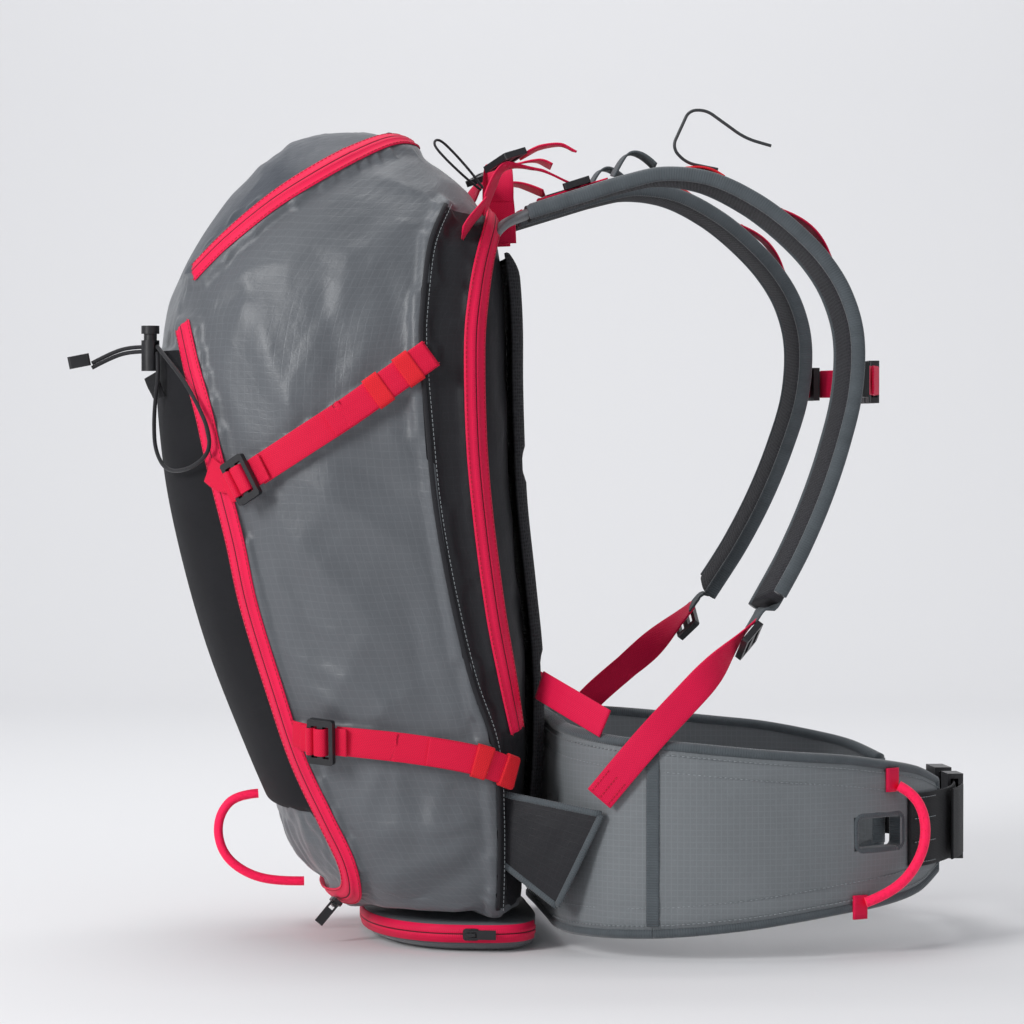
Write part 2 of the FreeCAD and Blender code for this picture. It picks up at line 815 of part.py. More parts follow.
def bungee_loop():
    return tube(bungee_route(), BUNGEE_SIZE, "bungee_loop")


CORD_END = V(-262, -24, 396.5)


def bungee_tail_route(height):
    start = LOCK_CENTRE - HOLE_WAY * 6.9
    end = CORD_END + V(8, 0, 1.6)
    return [p + V(0, 0, height) for p in (start, V(-229, -30, 409), V(-242, -26, 404.5), end)]


def bungee_tails():
    tails = [tube(bungee_tail_route(height), BUNGEE_SIZE, "bungee_tail") for height in (1.6, -1.6)]
    return Part.makeCompound(tails)


def cord_end():
    block = rounded_box(15, 7, 8.4, 2.0).translated(V(0, 0, -4.2))
    return placed(block, CORD_END + V(0, 0, 0.4), unit(V(1, 0, 0.2)), V(-0.2, 0, 1))


def strap_anchors():
    """Webbing that holds the ladder locks, and the tab under the cord lock."""
    upper = strap_anchor(UPPER_ANCHOR)
    lower = strap_anchor(LOWER_ANCHOR)
    rows = [tuple(side_point(-204, 376, 5.0)), (-211, -43.5, 383), (-214, -42.5, 391)]
    tab = strip(line_frames(rows, V(-0.8, -0.6, 0), 8), 14, -0.7, 0.7)
    return Part.makeCompound([both(upper), both(lower), tab])


TOP_LOOP_FOOT = V(15.5, -34, 521)
TOP_LOOP_WAY = V(-0.7, 0, 0.714)
TOP_LOOP_ASIDE = V(0.42, 0.8, 0.42)
TOP_LOOP_HALF = [(2.0, 0), (4.8, 10), (6.3, 20.5), (7.1, 31.5), (6.5, 42.7), (2.7, 46.5)]


def top_loop_route():
    half = TOP_LOOP_HALF + [(-aside, way) for aside, way in reversed(TOP_LOOP_HALF)]
    return [TOP_LOOP_FOOT + TOP_LOOP_WAY * way + TOP_LOOP_ASIDE * aside for aside, way in half]


def top_cord_loop():
    return tube(top_loop_route(), 1.8, "top_cord_loop")


# ---------------------------------------------------------------- sliders

def slider_pair(name, place, hang):
    """Slider on its zip with the pull hanging from its bridge along the direction given."""
    point, along, normal = place
    save(name + "_slider", placed(slider(), point + normal * 4.0, along, normal))
    eye = point + normal * 7.4
    across = unit(normal.cross(along))
    down = unit(hang - across * hang.dot(across))
    tab = placed(pull(17), eye, down, unit(down.cross(across)))
    save(name + "_pull", tab)
    print(name, "slider at", point, "along", along, "pull axis", across, "eye", eye)


os.makedirs("parts", exist_ok=True)

save("bag_body", bag_body())
save("lid_pocket", lid_pocket())
save("front_panel", front_panel())
save("lower_front_pocket", lower_front_pocket())
save("rear_gusset", rear_gusset())
save("back_panel", back_panel())
save("base_compartment", base_compartment())
save("frame_sheet", frame_sheet())
save("frame_stay", frame_stay())
save("lumbar_pad", lumbar_pad())
for name, outline in (("lid_zip", LID_ZIP), ("front_zip", FRONT_ZIP), ("rear_zip", REAR_ZIP)):
    save(name, strip(surface_line(outline, 70, True), ZIP_WIDTH, *ZIP))
save("base_zip", base_zip())
upper = compression_strap(UPPER_STRAP, 24)
lower = compression_strap(LOWER_STRAP, 20)
save("compression_straps", Part.makeCompound([both(upper), both(lower)]))
save("strap_anchors", strap_anchors())
save("ladder_locks", ladder_locks())
save("strap_keepers", strap_keepers())
save("shoulder_strap_right", shoulder_strap())
save("shoulder_strap_left", mirrored(shoulder_strap()))
save("load_lifters", load_lifters())
save("webbing_locks", webbing_locks())
save("strap_bands", both(strap_band(1.85, 2.85, 30, 1.9, 12)))
save("strap_tabs", both(strap_band(3.5, 4.3, 26, 1.2)))
save("strap_loops", both(strap_band(5.5, 7.2, WEBBING_WIDTH, 1.2, 6)))
save("wire_hook", wire_hook())
save("sternum_rails", sternum_rails())
save("sternum_sliders", sternum_sliders())
save("sternum_webbing", sternum_webbing())
save("sternum_male", sternum_male())
save("sternum_female", sternum_female())
save("lower_webbing", lower_webbing())
save("gusset_tabs", gusset_tabs())
save("haul_loop", haul_loop())
save("axe_loop", axe_loop())
save("bungee_loop", bungee_loop())
save("bungee_tails", bungee_tails())
save("cord_end", cord_end())
save("cord_lock_body", cord_lock_body())
save("cord_lock_button", cord_lock_button())
save("cord_lock_spring", cord_lock_spring())
save("top_cord_loop", top_cord_loop())
save("hip_wing_right", hip_wing())
save("hip_wing_left", mirrored(hip_wing()))
save("gear_loop_right", gear_loop())
save("gear_loop_left", mirrored(gear_loop()))
save("hip_webbing_right", Part.makeCompound([hip_webbing(HIP_RIGHT_END), hip_tail()]))
save("hip_webbing_left", mirrored(Part.makeCompound([hip_webbing(HIP_LEFT_END), hip_tail()])))
save("hip_buckle_male", hip_buckle_male())
save("hip_buckle_female", hip_buckle_female())
DOWN = V(0, 0, -1)
front_frames = surface_line(FRONT_ZIP, 140, True)
slider_pair("front", front_frames[62], DOWN)
lid_frames = surface_line(LID_ZIP, 100, True)
slider_pair("lid", lid_frames[76], V(-1, 0, -0.4))
rear_frames = surface_line(REAR_ZIP, 100, True)
slider_pair("rear", rear_frames[88], rear_frames[88][1])
base_line = base_frames(100, BASE_ZIP_HEIGHT)
point, along, normal = base_line[14]
slider_pair("base", (point - normal * 1.1, along, normal), along * -1.0)
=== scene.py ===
import bpy
import math
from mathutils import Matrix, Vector, noise


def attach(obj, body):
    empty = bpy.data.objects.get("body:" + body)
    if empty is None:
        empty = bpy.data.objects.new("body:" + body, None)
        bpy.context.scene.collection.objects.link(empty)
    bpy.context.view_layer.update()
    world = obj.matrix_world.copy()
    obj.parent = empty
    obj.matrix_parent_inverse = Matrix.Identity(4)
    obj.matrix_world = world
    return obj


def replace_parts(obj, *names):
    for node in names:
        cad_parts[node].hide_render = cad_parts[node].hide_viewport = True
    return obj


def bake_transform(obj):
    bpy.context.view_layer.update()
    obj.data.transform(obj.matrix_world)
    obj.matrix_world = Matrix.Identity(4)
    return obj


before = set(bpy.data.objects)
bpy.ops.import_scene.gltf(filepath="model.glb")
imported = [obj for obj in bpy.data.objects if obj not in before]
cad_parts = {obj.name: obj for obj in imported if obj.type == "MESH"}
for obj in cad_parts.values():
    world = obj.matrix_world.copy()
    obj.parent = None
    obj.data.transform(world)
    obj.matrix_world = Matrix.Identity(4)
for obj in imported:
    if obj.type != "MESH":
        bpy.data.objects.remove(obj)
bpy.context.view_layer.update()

# The object is drawn in millimetres and scaled once, when a mesh is made. Camera, backdrop and
# lamps are in metres.
MM = 0.001
SEED = 7
SIDES = ((0, "right"), (1, "left"))

# ---------------------------------------------------------------- camera

AIM = Vector((0.040, 0.0, 0.296))
AZIMUTH = math.radians(-6)
ELEVATION = math.radians(1.0)
DISTANCE = 2.55


def make_camera():
    data = bpy.data.cameras.new("view")
    data.lens = 127
    data.sensor_width = 36
    camera = bpy.data.objects.new("view", data)
    bpy.context.scene.collection.objects.link(camera)
    level = math.cos(ELEVATION)
    away = Vector((math.sin(AZIMUTH) * level, -math.cos(AZIMUTH) * level, math.sin(ELEVATION)))
    camera.location = AIM + away * DISTANCE
    camera.rotation_euler = (-away).to_track_quat("-Z", "Y").to_euler()
    bpy.context.scene.camera = camera


# ---------------------------------------------------------------- shape of the bag

# Level sections: height, outer x, wearer x, half width
BAG = [
    (20, -74, 44, 106), (32, -90, 45, 114), (52, -111, 45, 120), (92, -130, 45, 125),
    (134, -148, 48, 128), (193, -171, 48, 131), (246, -187, 43, 134), (302, -200, 37, 136),
    (344, -206, 35, 136), (386, -209, 34, 134), (426, -208, 34, 130), (462, -197, 32, 122),
    (489, -182, 28, 112), (513, -165, 14, 98), (535, -146, -8, 80), (552, -127, -32, 58),
    (562, -108, -50, 34), (566, -93, -64, 15),
]
BASE = [(0, -50, 46, 94), (3, -59, 50, 104), (7, -65, 51, 109), (13, -65, 51, 109), (19.5, -65, 51, 109)]
# Section corners: 2 is an ellipse, more is squarer; the taper widens the wearer side
OUTER_FULLNESS = 2.3
WEARER_FULLNESS = 3.6
TAPER = 0.12
BAG_MIDDLE = Vector((-80, 0, 300))

ZIP_WIDTH = 17.0
WEBBING_WIDTH = 20.0

# Lines on the bag's side as (x, z); the two seams and straps are repeated on the left side
LID_ZIP = [(-184, 461), (-162, 483), (-130, 509), (-97, 530), (-69, 545), (-48, 553), (-30, 553)]
FRONT_ZIP = [(-192, 424), (-186, 395), (-178, 364), (-171, 332), (-158, 280), (-148, 234),
             (-130, 175), (-115, 130), (-97, 91), (-84, 64), (-79, 46), (-80, 36), (-90, 30)]
REAR_ZIP = [(31, 151), (23, 190), (15, 232), (7, 290), (2, 345), (1, 407), (4, 440), (10, 470),
            (20, 500)]
SIDE_SEAM = [(-16, 505), (-28, 477), (-34, 435), (-35, 407), (-31, 351), (-26, 302), (-16, 246),
             (-2, 188), (14, 140), (18, 90), (18, 30)]
UPPER_STRAP = [(-29, 404), (-54, 386), (-82, 366), (-115, 344), (-156, 316)]
LOWER_STRAP = [(27, 122), (0, 133), (-45, 141), (-104, 147)]


def blend(rows, s):
    """Smooth curve through rows of numbers, s counts rows."""
    last = len(rows) - 1
    s = min(max(s, 0.0), float(last))
    i = min(int(s), last - 1)
    f = s - i
    before, start, end, after = rows[max(i - 1, 0)], rows[i], rows[i + 1], rows[min(i + 2, last)]
    return [a + 0.5 * f * (b - p + f * (2 * p - 5 * a + 4 * b - q + f * (3 * (a - b) + q - p)))
            for p, a, b, q in zip(before, start, end, after)]


def crossing(low, high, is_before, steps=20):
    """Number between low and high where is_before stops being true."""
    for _ in range(steps):
        middle = 0.5 * (low + high)
        if is_before(middle):
            low = middle
        else:
            high = middle
    return 0.5 * (low + high)


def row_at_height(rows, z):
    return crossing(0.0, len(rows) - 1.0, lambda s: blend(rows, s)[0] < z, 24)


def ring_point(row, turn):
    """Point of one level section; turn 0 faces the wearer, pi faces outwards, right side between."""
    z, outer, wearer, half = row
    c, d = math.cos(turn), math.sin(turn)
    power = 2.0 / (WEARER_FULLNESS if c > 0 else OUTER_FULLNESS)
    u = math.copysign(abs(c) ** power, c)
    v = math.copysign(abs(d) ** power, d)
    middle, reach = 0.5 * (outer + wearer), 0.5 * (wearer - outer)
    return Vector((middle + reach * u, -half * v * (1 + TAPER * u), z))


def surface_place(s, turn):
    """Point and outward normal of the bag surface."""
    row = blend(BAG, s)
    point = ring_point(row, turn)
    along = ring_point(row, turn + 0.03) - ring_point(row, turn - 0.03)
    up = ring_point(blend(BAG, s + 0.08), turn) - ring_point(blend(BAG, s - 0.08), turn)
    normal = along.cross(up).normalized()
    if normal.dot(point - BAG_MIDDLE) < 0:
        normal = -normal
    return point, normal


def side_place(x, z):
    """Row and turn of the right side's surface at this x and height."""
    s = row_at_height(BAG, z)
    _, outer, wearer, _ = blend(BAG, s)
    u = (x - 0.5 * (outer + wearer)) / (0.5 * (wearer - outer))
    u = min(max(u, -1.0), 1.0)
    power = 0.5 * (WEARER_FULLNESS if u > 0 else OUTER_FULLNESS)
    return s, math.acos(math.copysign(abs(u) ** power, u))


def side_point(x, z, lift):
    point, normal = surface_place(*side_place(x, z))
    return point + normal * lift


def lengths_along(points):
    out = [0.0]
    for a, b in zip(points, points[1:]):
        out.append(out[-1] + (b - a).length)
    return out


def even_shares(points, count):
    """(index, fraction) of equally spaced places along a polyline."""
    lengths = lengths_along(points)
    out = []
    i = 0
    for k in range(count):
        goal = lengths[-1] * k / (count - 1)
        while i < len(points) - 2 and lengths[i + 1] < goal:
            i += 1
        f = (goal - lengths[i]) / max(lengths[i + 1] - lengths[i], 1e-9)
        out.append((i, min(max(f, 0.0), 1.0)))
    return out


def smooth_line(rows, count):
    dense = [Vector(blend(rows, i / 12.0)) for i in range(12 * (len(rows) - 1) + 1)]
    return [dense[i].lerp(dense[i + 1], f) for i, f in even_shares(dense, count)]


def directions(points):
    last = len(points) - 1
    return [(points[min(i + 1, last)] - points[max(i - 1, 0)]).normalized() for i in range(last + 1)]


def surface_line(outline, count, across=False):
    """Frames (point, along, normal) on the right side, or right over the middle to the left side."""
    places = [side_place(*blend(outline, i / 16.0)) for i in range(16 * (len(outline) - 1) + 1)]
    if across:
        places[-1] = (places[-1][0], 0.0 if places[-1][1] < 1.5 else math.pi)
        turn_over = 2 * places[-1][1]
        places += [(s, turn_over - t) for s, t in reversed(places[:-1])]
    spots = [surface_place(s, t)[0] for s, t in places]
    frames = []
    for i, f in even_shares(spots, count):
        s = places[i][0] + f * (places[i + 1][0] - places[i][0])
        t = places[i][1] + f * (places[i + 1][1] - places[i][1])
        frames.append(surface_place(s, t))
    heading = directions([point for point, normal in frames])
    return [(point, along, normal) for (point, normal), along in zip(frames, heading)]


def mirrored_frames(frames):
    def flip(v):
        return Vector((v.x, -v.y, v.z))
    return [(flip(p), flip(a), flip(n)) for p, a, n in frames]


def flipped(frames, side):
    return mirrored_frames(frames) if side else frames


def line_frames(rows, normal, count):
    points = smooth_line(rows, count)
    return [(p, a, (normal - a * normal.dot(a)).normalized())
            for p, a in zip(points, directions(points))]


def width_frames(rows, across, count):
    points = smooth_line(rows, count)
    return [(p, a, a.cross(across).normalized()) for p, a in zip(points, directions(points))]


def level_frames(rows, count):
    points = smooth_line(rows, count)
    return [(p, a, Vector((a.y, -a.x, 0)).normalized()) for p, a in zip(points, directions(points))]


# ---------------------------------------------------------------- materials

def start_material(name, colour, rough, sheen=0.0, specular=0.35):
    """Material and the graph that its nodes are added to."""
    material = bpy.data.materials.new(name)
    material.use_nodes = True
    tree = material.node_tree
    shader = tree.nodes["Principled BSDF"]
    shader.inputs["Base Color"].default_value = (*colour, 1)
    shader.inputs["Roughness"].default_value = rough
    shader.inputs["Specular IOR Level"].default_value = specular
    shader.inputs["Sheen Weight"].default_value = sheen
    shader.inputs["Sheen Roughness"].default_value = 0.4
    material.diffuse_color = (*colour, 1)
    return material, Graph(tree, shader)


class Graph:
    """Short ways to add shader nodes; lengths along the cloth come in as millimetres."""

    def __init__(self, tree, shader):
        self.tree = tree
        self.shader = shader
        texture = tree.nodes.new("ShaderNodeTexCoord")
        scale = self.node("ShaderNodeVectorMath", operation="SCALE")
        scale.inputs["Scale"].default_value = 1000.0
        self.link(texture.outputs["UV"], scale.inputs[0])
        self.cloth = scale.outputs[0]
        parts = self.node("ShaderNodeSeparateXYZ")
        self.link(self.cloth, parts.inputs[0])
        self.u = parts.outputs["X"]
        self.v = parts.outputs["Y"]
        self.place = texture.outputs["Object"]

    def node(self, kind, **settings):
        out = self.tree.nodes.new(kind)
        for key, value in settings.items():
            setattr(out, key, value)
        return out

    def link(self, a, b):
        self.tree.links.new(a, b)

    def math(self, operation, a, b=None, c=None):
        out = self.node("ShaderNodeMath", operation=operation)
        for socket, value in zip(out.inputs, (a, b, c)):
            if value is None:
                continue
            if isinstance(value, (int, float)):
                socket.default_value = value
            else:
                self.link(value, socket)
        return out.outputs[0]

    def line(self, coordinate, period, width):
        """1 on lines of this width every period, 0 between, with soft edges."""
        distance = self.math("PINGPONG", coordinate, period / 2)
        ramp = self.node("ShaderNodeMapRange")
        self.link(distance, ramp.inputs["Value"])
        ramp.inputs["From Min"].default_value = width * 0.35
        ramp.inputs["From Max"].default_value = width * 0.75
        ramp.inputs["To Min"].default_value = 1.0
        ramp.inputs["To Max"].default_value = 0.0
        return ramp.outputs[0]

    def noise(self, size, detail=3.0, vector=None, stretch=None, rough=0.5):
        out = self.node("ShaderNodeTexNoise")
        source = vector or self.cloth
        if stretch:
            scale = self.node("ShaderNodeVectorMath", operation="MULTIPLY")
            self.link(source, scale.inputs[0])
            scale.inputs[1].default_value = stretch
            source = scale.outputs[0]
        self.link(source, out.inputs["Vector"])
        out.inputs["Scale"].default_value = 1.0 / size
        out.inputs["Detail"].default_value = detail
        out.inputs["Roughness"].default_value = rough
        return out.outputs["Fac"]

    def ribs(self, coordinate, pitch):
        """Even waves between -1 and 1."""
        return self.math("SINE", self.math("MULTIPLY", coordinate, 2 * math.pi / pitch))

    def tone(self, factor, colour, low, high):
        """Colour that runs from one share of its brightness to another."""
        return self.mix(factor, darker(colour, low), darker(colour, high))

    def paint(self, value, slot="Base Color"):
        self.link(value, self.shader.inputs[slot])

    def mix(self, factor, a, b):
        out = self.node("ShaderNodeMix", data_type="RGBA")
        if isinstance(factor, (int, float)):
            out.inputs["Factor"].default_value = factor
        else:
            self.link(factor, out.inputs["Factor"])
        for socket, value in ((out.inputs[6], a), (out.inputs[7], b)):
            if isinstance(value, tuple):
                socket.default_value = (*value, 1)
            else:
                self.link(value, socket)
        return out.outputs[2]

    def bump(self, height, strength, distance=0.001):
        out = self.node("ShaderNodeBump")
        out.inputs["Strength"].default_value = strength
        out.inputs["Distance"].default_value = distance
        self.link(height, out.inputs["Height"])
        self.paint(out.outputs[0], "Normal")


def darker(colour, share):
    return tuple(c * share for c in colour)


def ripstop(name, colour, rough=0.42, grid=5.2, strength=0.35, sheen=0.2, specular=0.45):
    """Thin woven nylon with a square reinforcing grid and fine crinkles."""
    material, g = start_material(name, colour, rough, sheen, specular)
    across = g.line(g.u, grid, 0.55)
    upright = g.line(g.v, grid, 0.55)
    lines = g.math("MAXIMUM", across, upright)
    weave = g.math("MULTIPLY", g.line(g.u, 0.62, 0.4), g.line(g.v, 0.62, 0.4))
    crinkle = g.noise(9.0, 5.0, rough=0.6)
    streak = g.noise(26.0, 4.0, stretch=(1.0, 0.35, 1.0), rough=0.6)
    worn = g.noise(60.0, 3.0)
    base = g.tone(worn, colour, 0.86, 1.14)
    base = g.mix(g.math("MULTIPLY", lines, 0.16), base, darker(colour, 1.75))
    g.paint(base)
    spread = g.math("MULTIPLY_ADD", streak, 0.22, rough - 0.11)
    g.paint(spread, "Roughness")
    height = g.math("MULTIPLY_ADD", lines, 0.10, g.math("MULTIPLY", weave, 0.03))
    height = g.math("ADD", height, g.math("MULTIPLY", crinkle, 1.5))
    height = g.math("ADD", height, g.math("MULTIPLY", streak, 2.2))
    g.bump(height, strength)
    return material


def plain_cloth(name, colour, rough=0.75):
    """Dull dense weave."""
    material, g = start_material(name, colour, rough, 0.02, 0.15)
    weave = g.math("ADD", g.line(g.u, 0.9, 0.5), g.line(g.v, 0.9, 0.5))
    worn = g.noise(40.0, 4.0)
    g.paint(g.tone(worn, colour, 0.75, 1.35))
    g.bump(g.math("MULTIPLY_ADD", weave, 0.12, g.math("MULTIPLY", worn, 1.2)), 0.4)
    return material


def webbing(name, colour, rough=0.62):
    """Woven strap: fine ribs in a shallow chevron, with painted shade darkening the low parts of the ribs.
    """
    material, g = start_material(name, colour, rough, 0.05, 0.2)
    slant = g.math("PINGPONG", g.v, 2.1)
    wave = g.math("MULTIPLY_ADD", slant, 0.9, g.u)
    ribs = g.ribs(wave, 1.5)
    yarns = g.ribs(g.v, 1.05)
    height = g.math("MULTIPLY_ADD", ribs, 0.5, g.math("MULTIPLY", yarns, 0.35))
    groove_shade = g.math("MULTIPLY_ADD", height, 0.5, 0.5)
    worn = g.noise(14.0, 3.0)
    # Painted shade: the colour darkens where the ribs are low.
    base = g.tone(groove_shade, colour, 0.62, 1.08)
    base = g.mix(g.math("MULTIPLY", worn, 0.35), base, darker(colour, 0.8))
    g.paint(base)
    g.bump(height, 0.35, 0.0004)
    return material


def zip_tape(name, colour, dark):
    """Reversed coil zip: smooth tape, stitched ribs over the coil with painted shade between them, and a
    painted shadow line where the two halves join.
    """
    material, g = start_material(name, colour, 0.55, 0.05, 0.25)
    aside = g.math("ABSOLUTE", g.v)
    shaded_gap = g.math("LESS_THAN", aside, 0.42)
    coil = g.math("LESS_THAN", aside, 3.4)
    ribs = g.ribs(g.math("MULTIPLY_ADD", aside, 0.25, g.u), 1.35)
    weave = g.ribs(g.v, 0.8)
    shaded_groove = g.math("MULTIPLY", g.math("MULTIPLY_ADD", ribs, 0.5, 0.5), coil)
    worn = g.noise(30.0, 3.0)
    base = g.tone(worn, colour, 0.85, 1.1)
    # Painted shade: darker stripes between the ribs over the coil.
    base = g.mix(g.math("MULTIPLY", shaded_groove, 0.3), base, darker(colour, 0.55))
    # Painted shadow: the thin line where the two halves join is given the dark colour.
    base = g.mix(shaded_gap, base, dark)
    g.paint(base)
    height = g.math("MULTIPLY_ADD", shaded_groove, 0.8, g.math("MULTIPLY", weave, 0.15))
    height = g.math("SUBTRACT", height, g.math("MULTIPLY", shaded_gap, 1.5))
    g.bump(height, 0.5, 0.0004)
    return material


def spacer_mesh(name, colour):
    """Open knitted mesh over foam, with painted shade in the open cells."""
    material, g = start_material(name, colour, 0.8, 0.04, 0.15)
    cells = g.node("ShaderNodeTexVoronoi")
    g.link(g.cloth, cells.inputs["Vector"])
    cells.inputs["Scale"].default_value = 0.42
    cells.inputs["Randomness"].default_value = 0.25
    ring = g.math("MULTIPLY", cells.outputs["Distance"], 1.6)
    # Painted shade: colour follows the distance from each cell's middle, dark in the open cells and lighter
    # on the knit between them.
    g.paint(g.tone(ring, colour, 0.25, 2.2))
    g.bump(ring, 0.7, 0.0007)
    return material


def knit(name, colour):
    """Soft binding tape with fine ribs across it."""
    material, g = start_material(name, colour, 0.8, 0.35, 0.2)
    ribs = g.ribs(g.u, 1.7)
    worn = g.noise(12.0, 3.0)
    g.paint(g.tone(worn, colour, 0.75, 1.2))
    g.bump(g.math("MULTIPLY_ADD", ribs, 0.5, worn), 0.45, 0.0005)
    return material


def moulded(name, colour, rough=0.38):
    """Moulded plastic with a faint grain."""
    material, g = start_material(name, colour, rough, 0.0, 0.5)
    grain = g.noise(0.0008, 4.0, vector=g.place)
    scuff = g.noise(0.006, 3.0, vector=g.place)
    g.paint(g.tone(scuff, colour, 0.8, 1.5))
    g.paint(g.math("MULTIPLY_ADD", scuff, 0.2, rough - 0.1), "Roughness")
    g.bump(grain, 0.08, 0.0003)
    return material


def cord_cover(name, colour):
    """Braided cord sleeve, with painted shade where the braid is low."""
    material, g = start_material(name, colour, 0.65, 0.2, 0.3)
    braid = g.noise(0.0011, 2.0, vector=g.place)
    # Painted shade: the same noise sets colour and bump, so the low parts of the braid are darker.
    g.paint(g.tone(braid, colour, 0.5, 2.2))
    g.bump(braid, 0.5, 0.0004)
    return material


GREY = (0.105, 0.113, 0.124)
SLATE = (0.046, 0.054, 0.067)
DARK = (0.020, 0.020, 0.023)
PINK = (0.86, 0.008, 0.075)
RED = (0.85, 0.008, 0.058)
ORANGE = (0.90, 0.020, 0.035)

CLOTH = {
    "side_fabric": ripstop("side_fabric", GREY),
    "lid_fabric": ripstop("lid_fabric", SLATE, 0.45, 3.0, 0.30),
    "dark_fabric": ripstop("dark_fabric", DARK, 0.5, 5.2, 0.30, 0.02, 0.2),
    "belt_fabric": ripstop("belt_fabric", (0.165, 0.180, 0.190), 0.6, 4.0, 0.35, 0.12),
    "black_fabric": plain_cloth("black_fabric", (0.012, 0.012, 0.014)),
    "mesh_foam": spacer_mesh("mesh_foam", (0.018, 0.018, 0.020)),
    "strap_mesh": spacer_mesh("strap_mesh", (0.020, 0.020, 0.023)),
    # The zip tape's last colour is the painted shadow in the line where its halves join.
    "zip_tape": zip_tape("zip_tape", PINK, (0.10, 0.004, 0.012)),
    "red_webbing": webbing("red_webbing", RED),
    "pink_webbing": webbing("pink_webbing", PINK),
    "orange_elastic": webbing("orange_elastic", ORANGE, 0.7),
    "grey_webbing": webbing("grey_webbing", (0.10, 0.115, 0.125)),
    "black_webbing": webbing("black_webbing", (0.014, 0.014, 0.016)),
    "black_cord": cord_cover("black_cord", (0.012, 0.012, 0.014)),
    "buckle_plastic": moulded("buckle_plastic", (0.012, 0.012, 0.014)),
    "slider_metal": moulded("slider_metal", (0.015, 0.015, 0.017), 0.3),
    "hook_wire": moulded("hook_wire", (0.03, 0.033, 0.036), 0.35),
    "sheet_plastic": moulded("sheet_plastic", (0.02, 0.02, 0.022), 0.5),
    "aluminium_bar": moulded("aluminium_bar", (0.6, 0.6, 0.62), 0.4),
    "spring_steel": moulded("spring_steel", (0.5, 0.5, 0.5), 0.3),
}
BINDING = knit("binding_knit", (0.088, 0.102, 0.112))
THREAD = moulded("thread", (0.22, 0.24, 0.25), 0.7)
RED_THREAD = moulded("red_thread", (0.45, 0.008, 0.03), 0.7)
TUBE_WEBBING = cord_cover("tube_webbing", PINK)


# ---------------------------------------------------------------- making pieces

def make_piece(name, points, faces, cloth, body="pack", uvs=None, smooth=True):
    """Mesh from points in millimetres; uvs is one (u, v) in millimetres per point."""
    mesh = bpy.data.meshes.new(name)
    mesh.from_pydata([tuple(Vector(p) * MM) for p in points], [], faces)
    mesh.update()
    if uvs:
        layer = mesh.uv_layers.new(name="cloth")
        for loop in mesh.loops:
            u, v = uvs[loop.vertex_index]
            layer.data[loop.index].uv = (u * MM, v * MM)
    mesh.materials.append(CLOTH[cloth] if isinstance(cloth, str) else cloth)
    if smooth:
        mesh.polygons.foreach_set("use_smooth", [True] * len(mesh.polygons))
    piece = bpy.data.objects.new(name, mesh)
    bpy.context.scene.collection.objects.link(piece)
    if body:
        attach(piece, body)
    return piece


def ring_faces(rings, count):
    """Faces of a tube of rings, with flat ends."""
    faces = []
    for first in range(0, (rings - 1) * count, count):
        for k in range(count):
            a, b = first + k, first + (k + 1) % count
            faces.append((a, b, b + count, a + count))
    last = (rings - 1) * count
    return faces + [tuple(range(count))[::-1], tuple(range(last, last + count))]


def grid_faces(tall, wide, first=0):
    faces = []
    for i in range(tall):
        for k in range(wide):
            a = first + i * (wide + 1) + k
            faces.append((a, a + 1, a + wide + 2, a + wide + 1))
    return faces


def sweep(name, frames, profile, cloth, body="pack", node=None):
    """Closed profile of (aside, out) carried along frames, with flat ends."""
    points, uvs = [], []
    travelled = lengths_along([p for p, a, n in frames])
    for (point, along, normal), u in zip(frames, travelled):
        aside = normal.cross(along)
        for w, h in profile:
            points.append(point + aside * w + normal * h)
            uvs.append((u, w))
    piece = make_piece(name, points, ring_faces(len(frames), len(profile)), cloth, body, uvs)
    if node:
        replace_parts(piece, node)
    return piece


def flat_profile(width, low, high):
    """Webbing section with rounded edges."""
    w = 0.5 * width
    r = 0.5 * (high - low)
    m = 0.5 * (high + low)
    right = [(w - r, low), (w - 0.3 * r, m - 0.7 * r), (w, m), (w - 0.3 * r, m + 0.7 * r),
             (w - r, high)]
    top = [(w * 0.5, high), (0, high), (-w * 0.5, high)]
    left = [(-x, y) for x, y in reversed(right)]
    under = [(-w * 0.5, low), (0, low), (w * 0.5, low)]
    return right + top + left + under


def zip_profile():
    """Tape with the raised coil along its middle."""
    w = 0.5 * ZIP_WIDTH
    half = [(w, 0.2), (w, 0.9), (w * 0.75, 1.3), (3.8, 1.5), (3.0, 2.3), (1.2, 2.5), (0.45, 2.4)]
    return half + [(0, 1.7)] + [(-x, y) for x, y in reversed(half)] + [(0, 0.2)]


def tube_profile(width, thick, sides=14):
    turns = [2 * math.pi * k / sides for k in range(sides)]
    return [(0.5 * width * math.cos(turn), 0.5 * thick * math.sin(turn)) for turn in turns]


def block_points(place, size):
    """Corners of a block around a frame; size is (along, aside, out)."""
    point, along, normal = place
    half = [way * (0.5 * length) for way, length in zip((along, normal.cross(along), normal), size)]
    return [point + half[0] * i + half[1] * j + half[2] * k
            for i in (-1, 1) for j in (-1, 1) for k in (-1, 1)]


BLOCK_FACES = [(0, 1, 3, 2), (4, 6, 7, 5), (0, 4, 5, 1), (2, 3, 7, 6), (0, 2, 6, 4), (1, 5, 7, 3)]


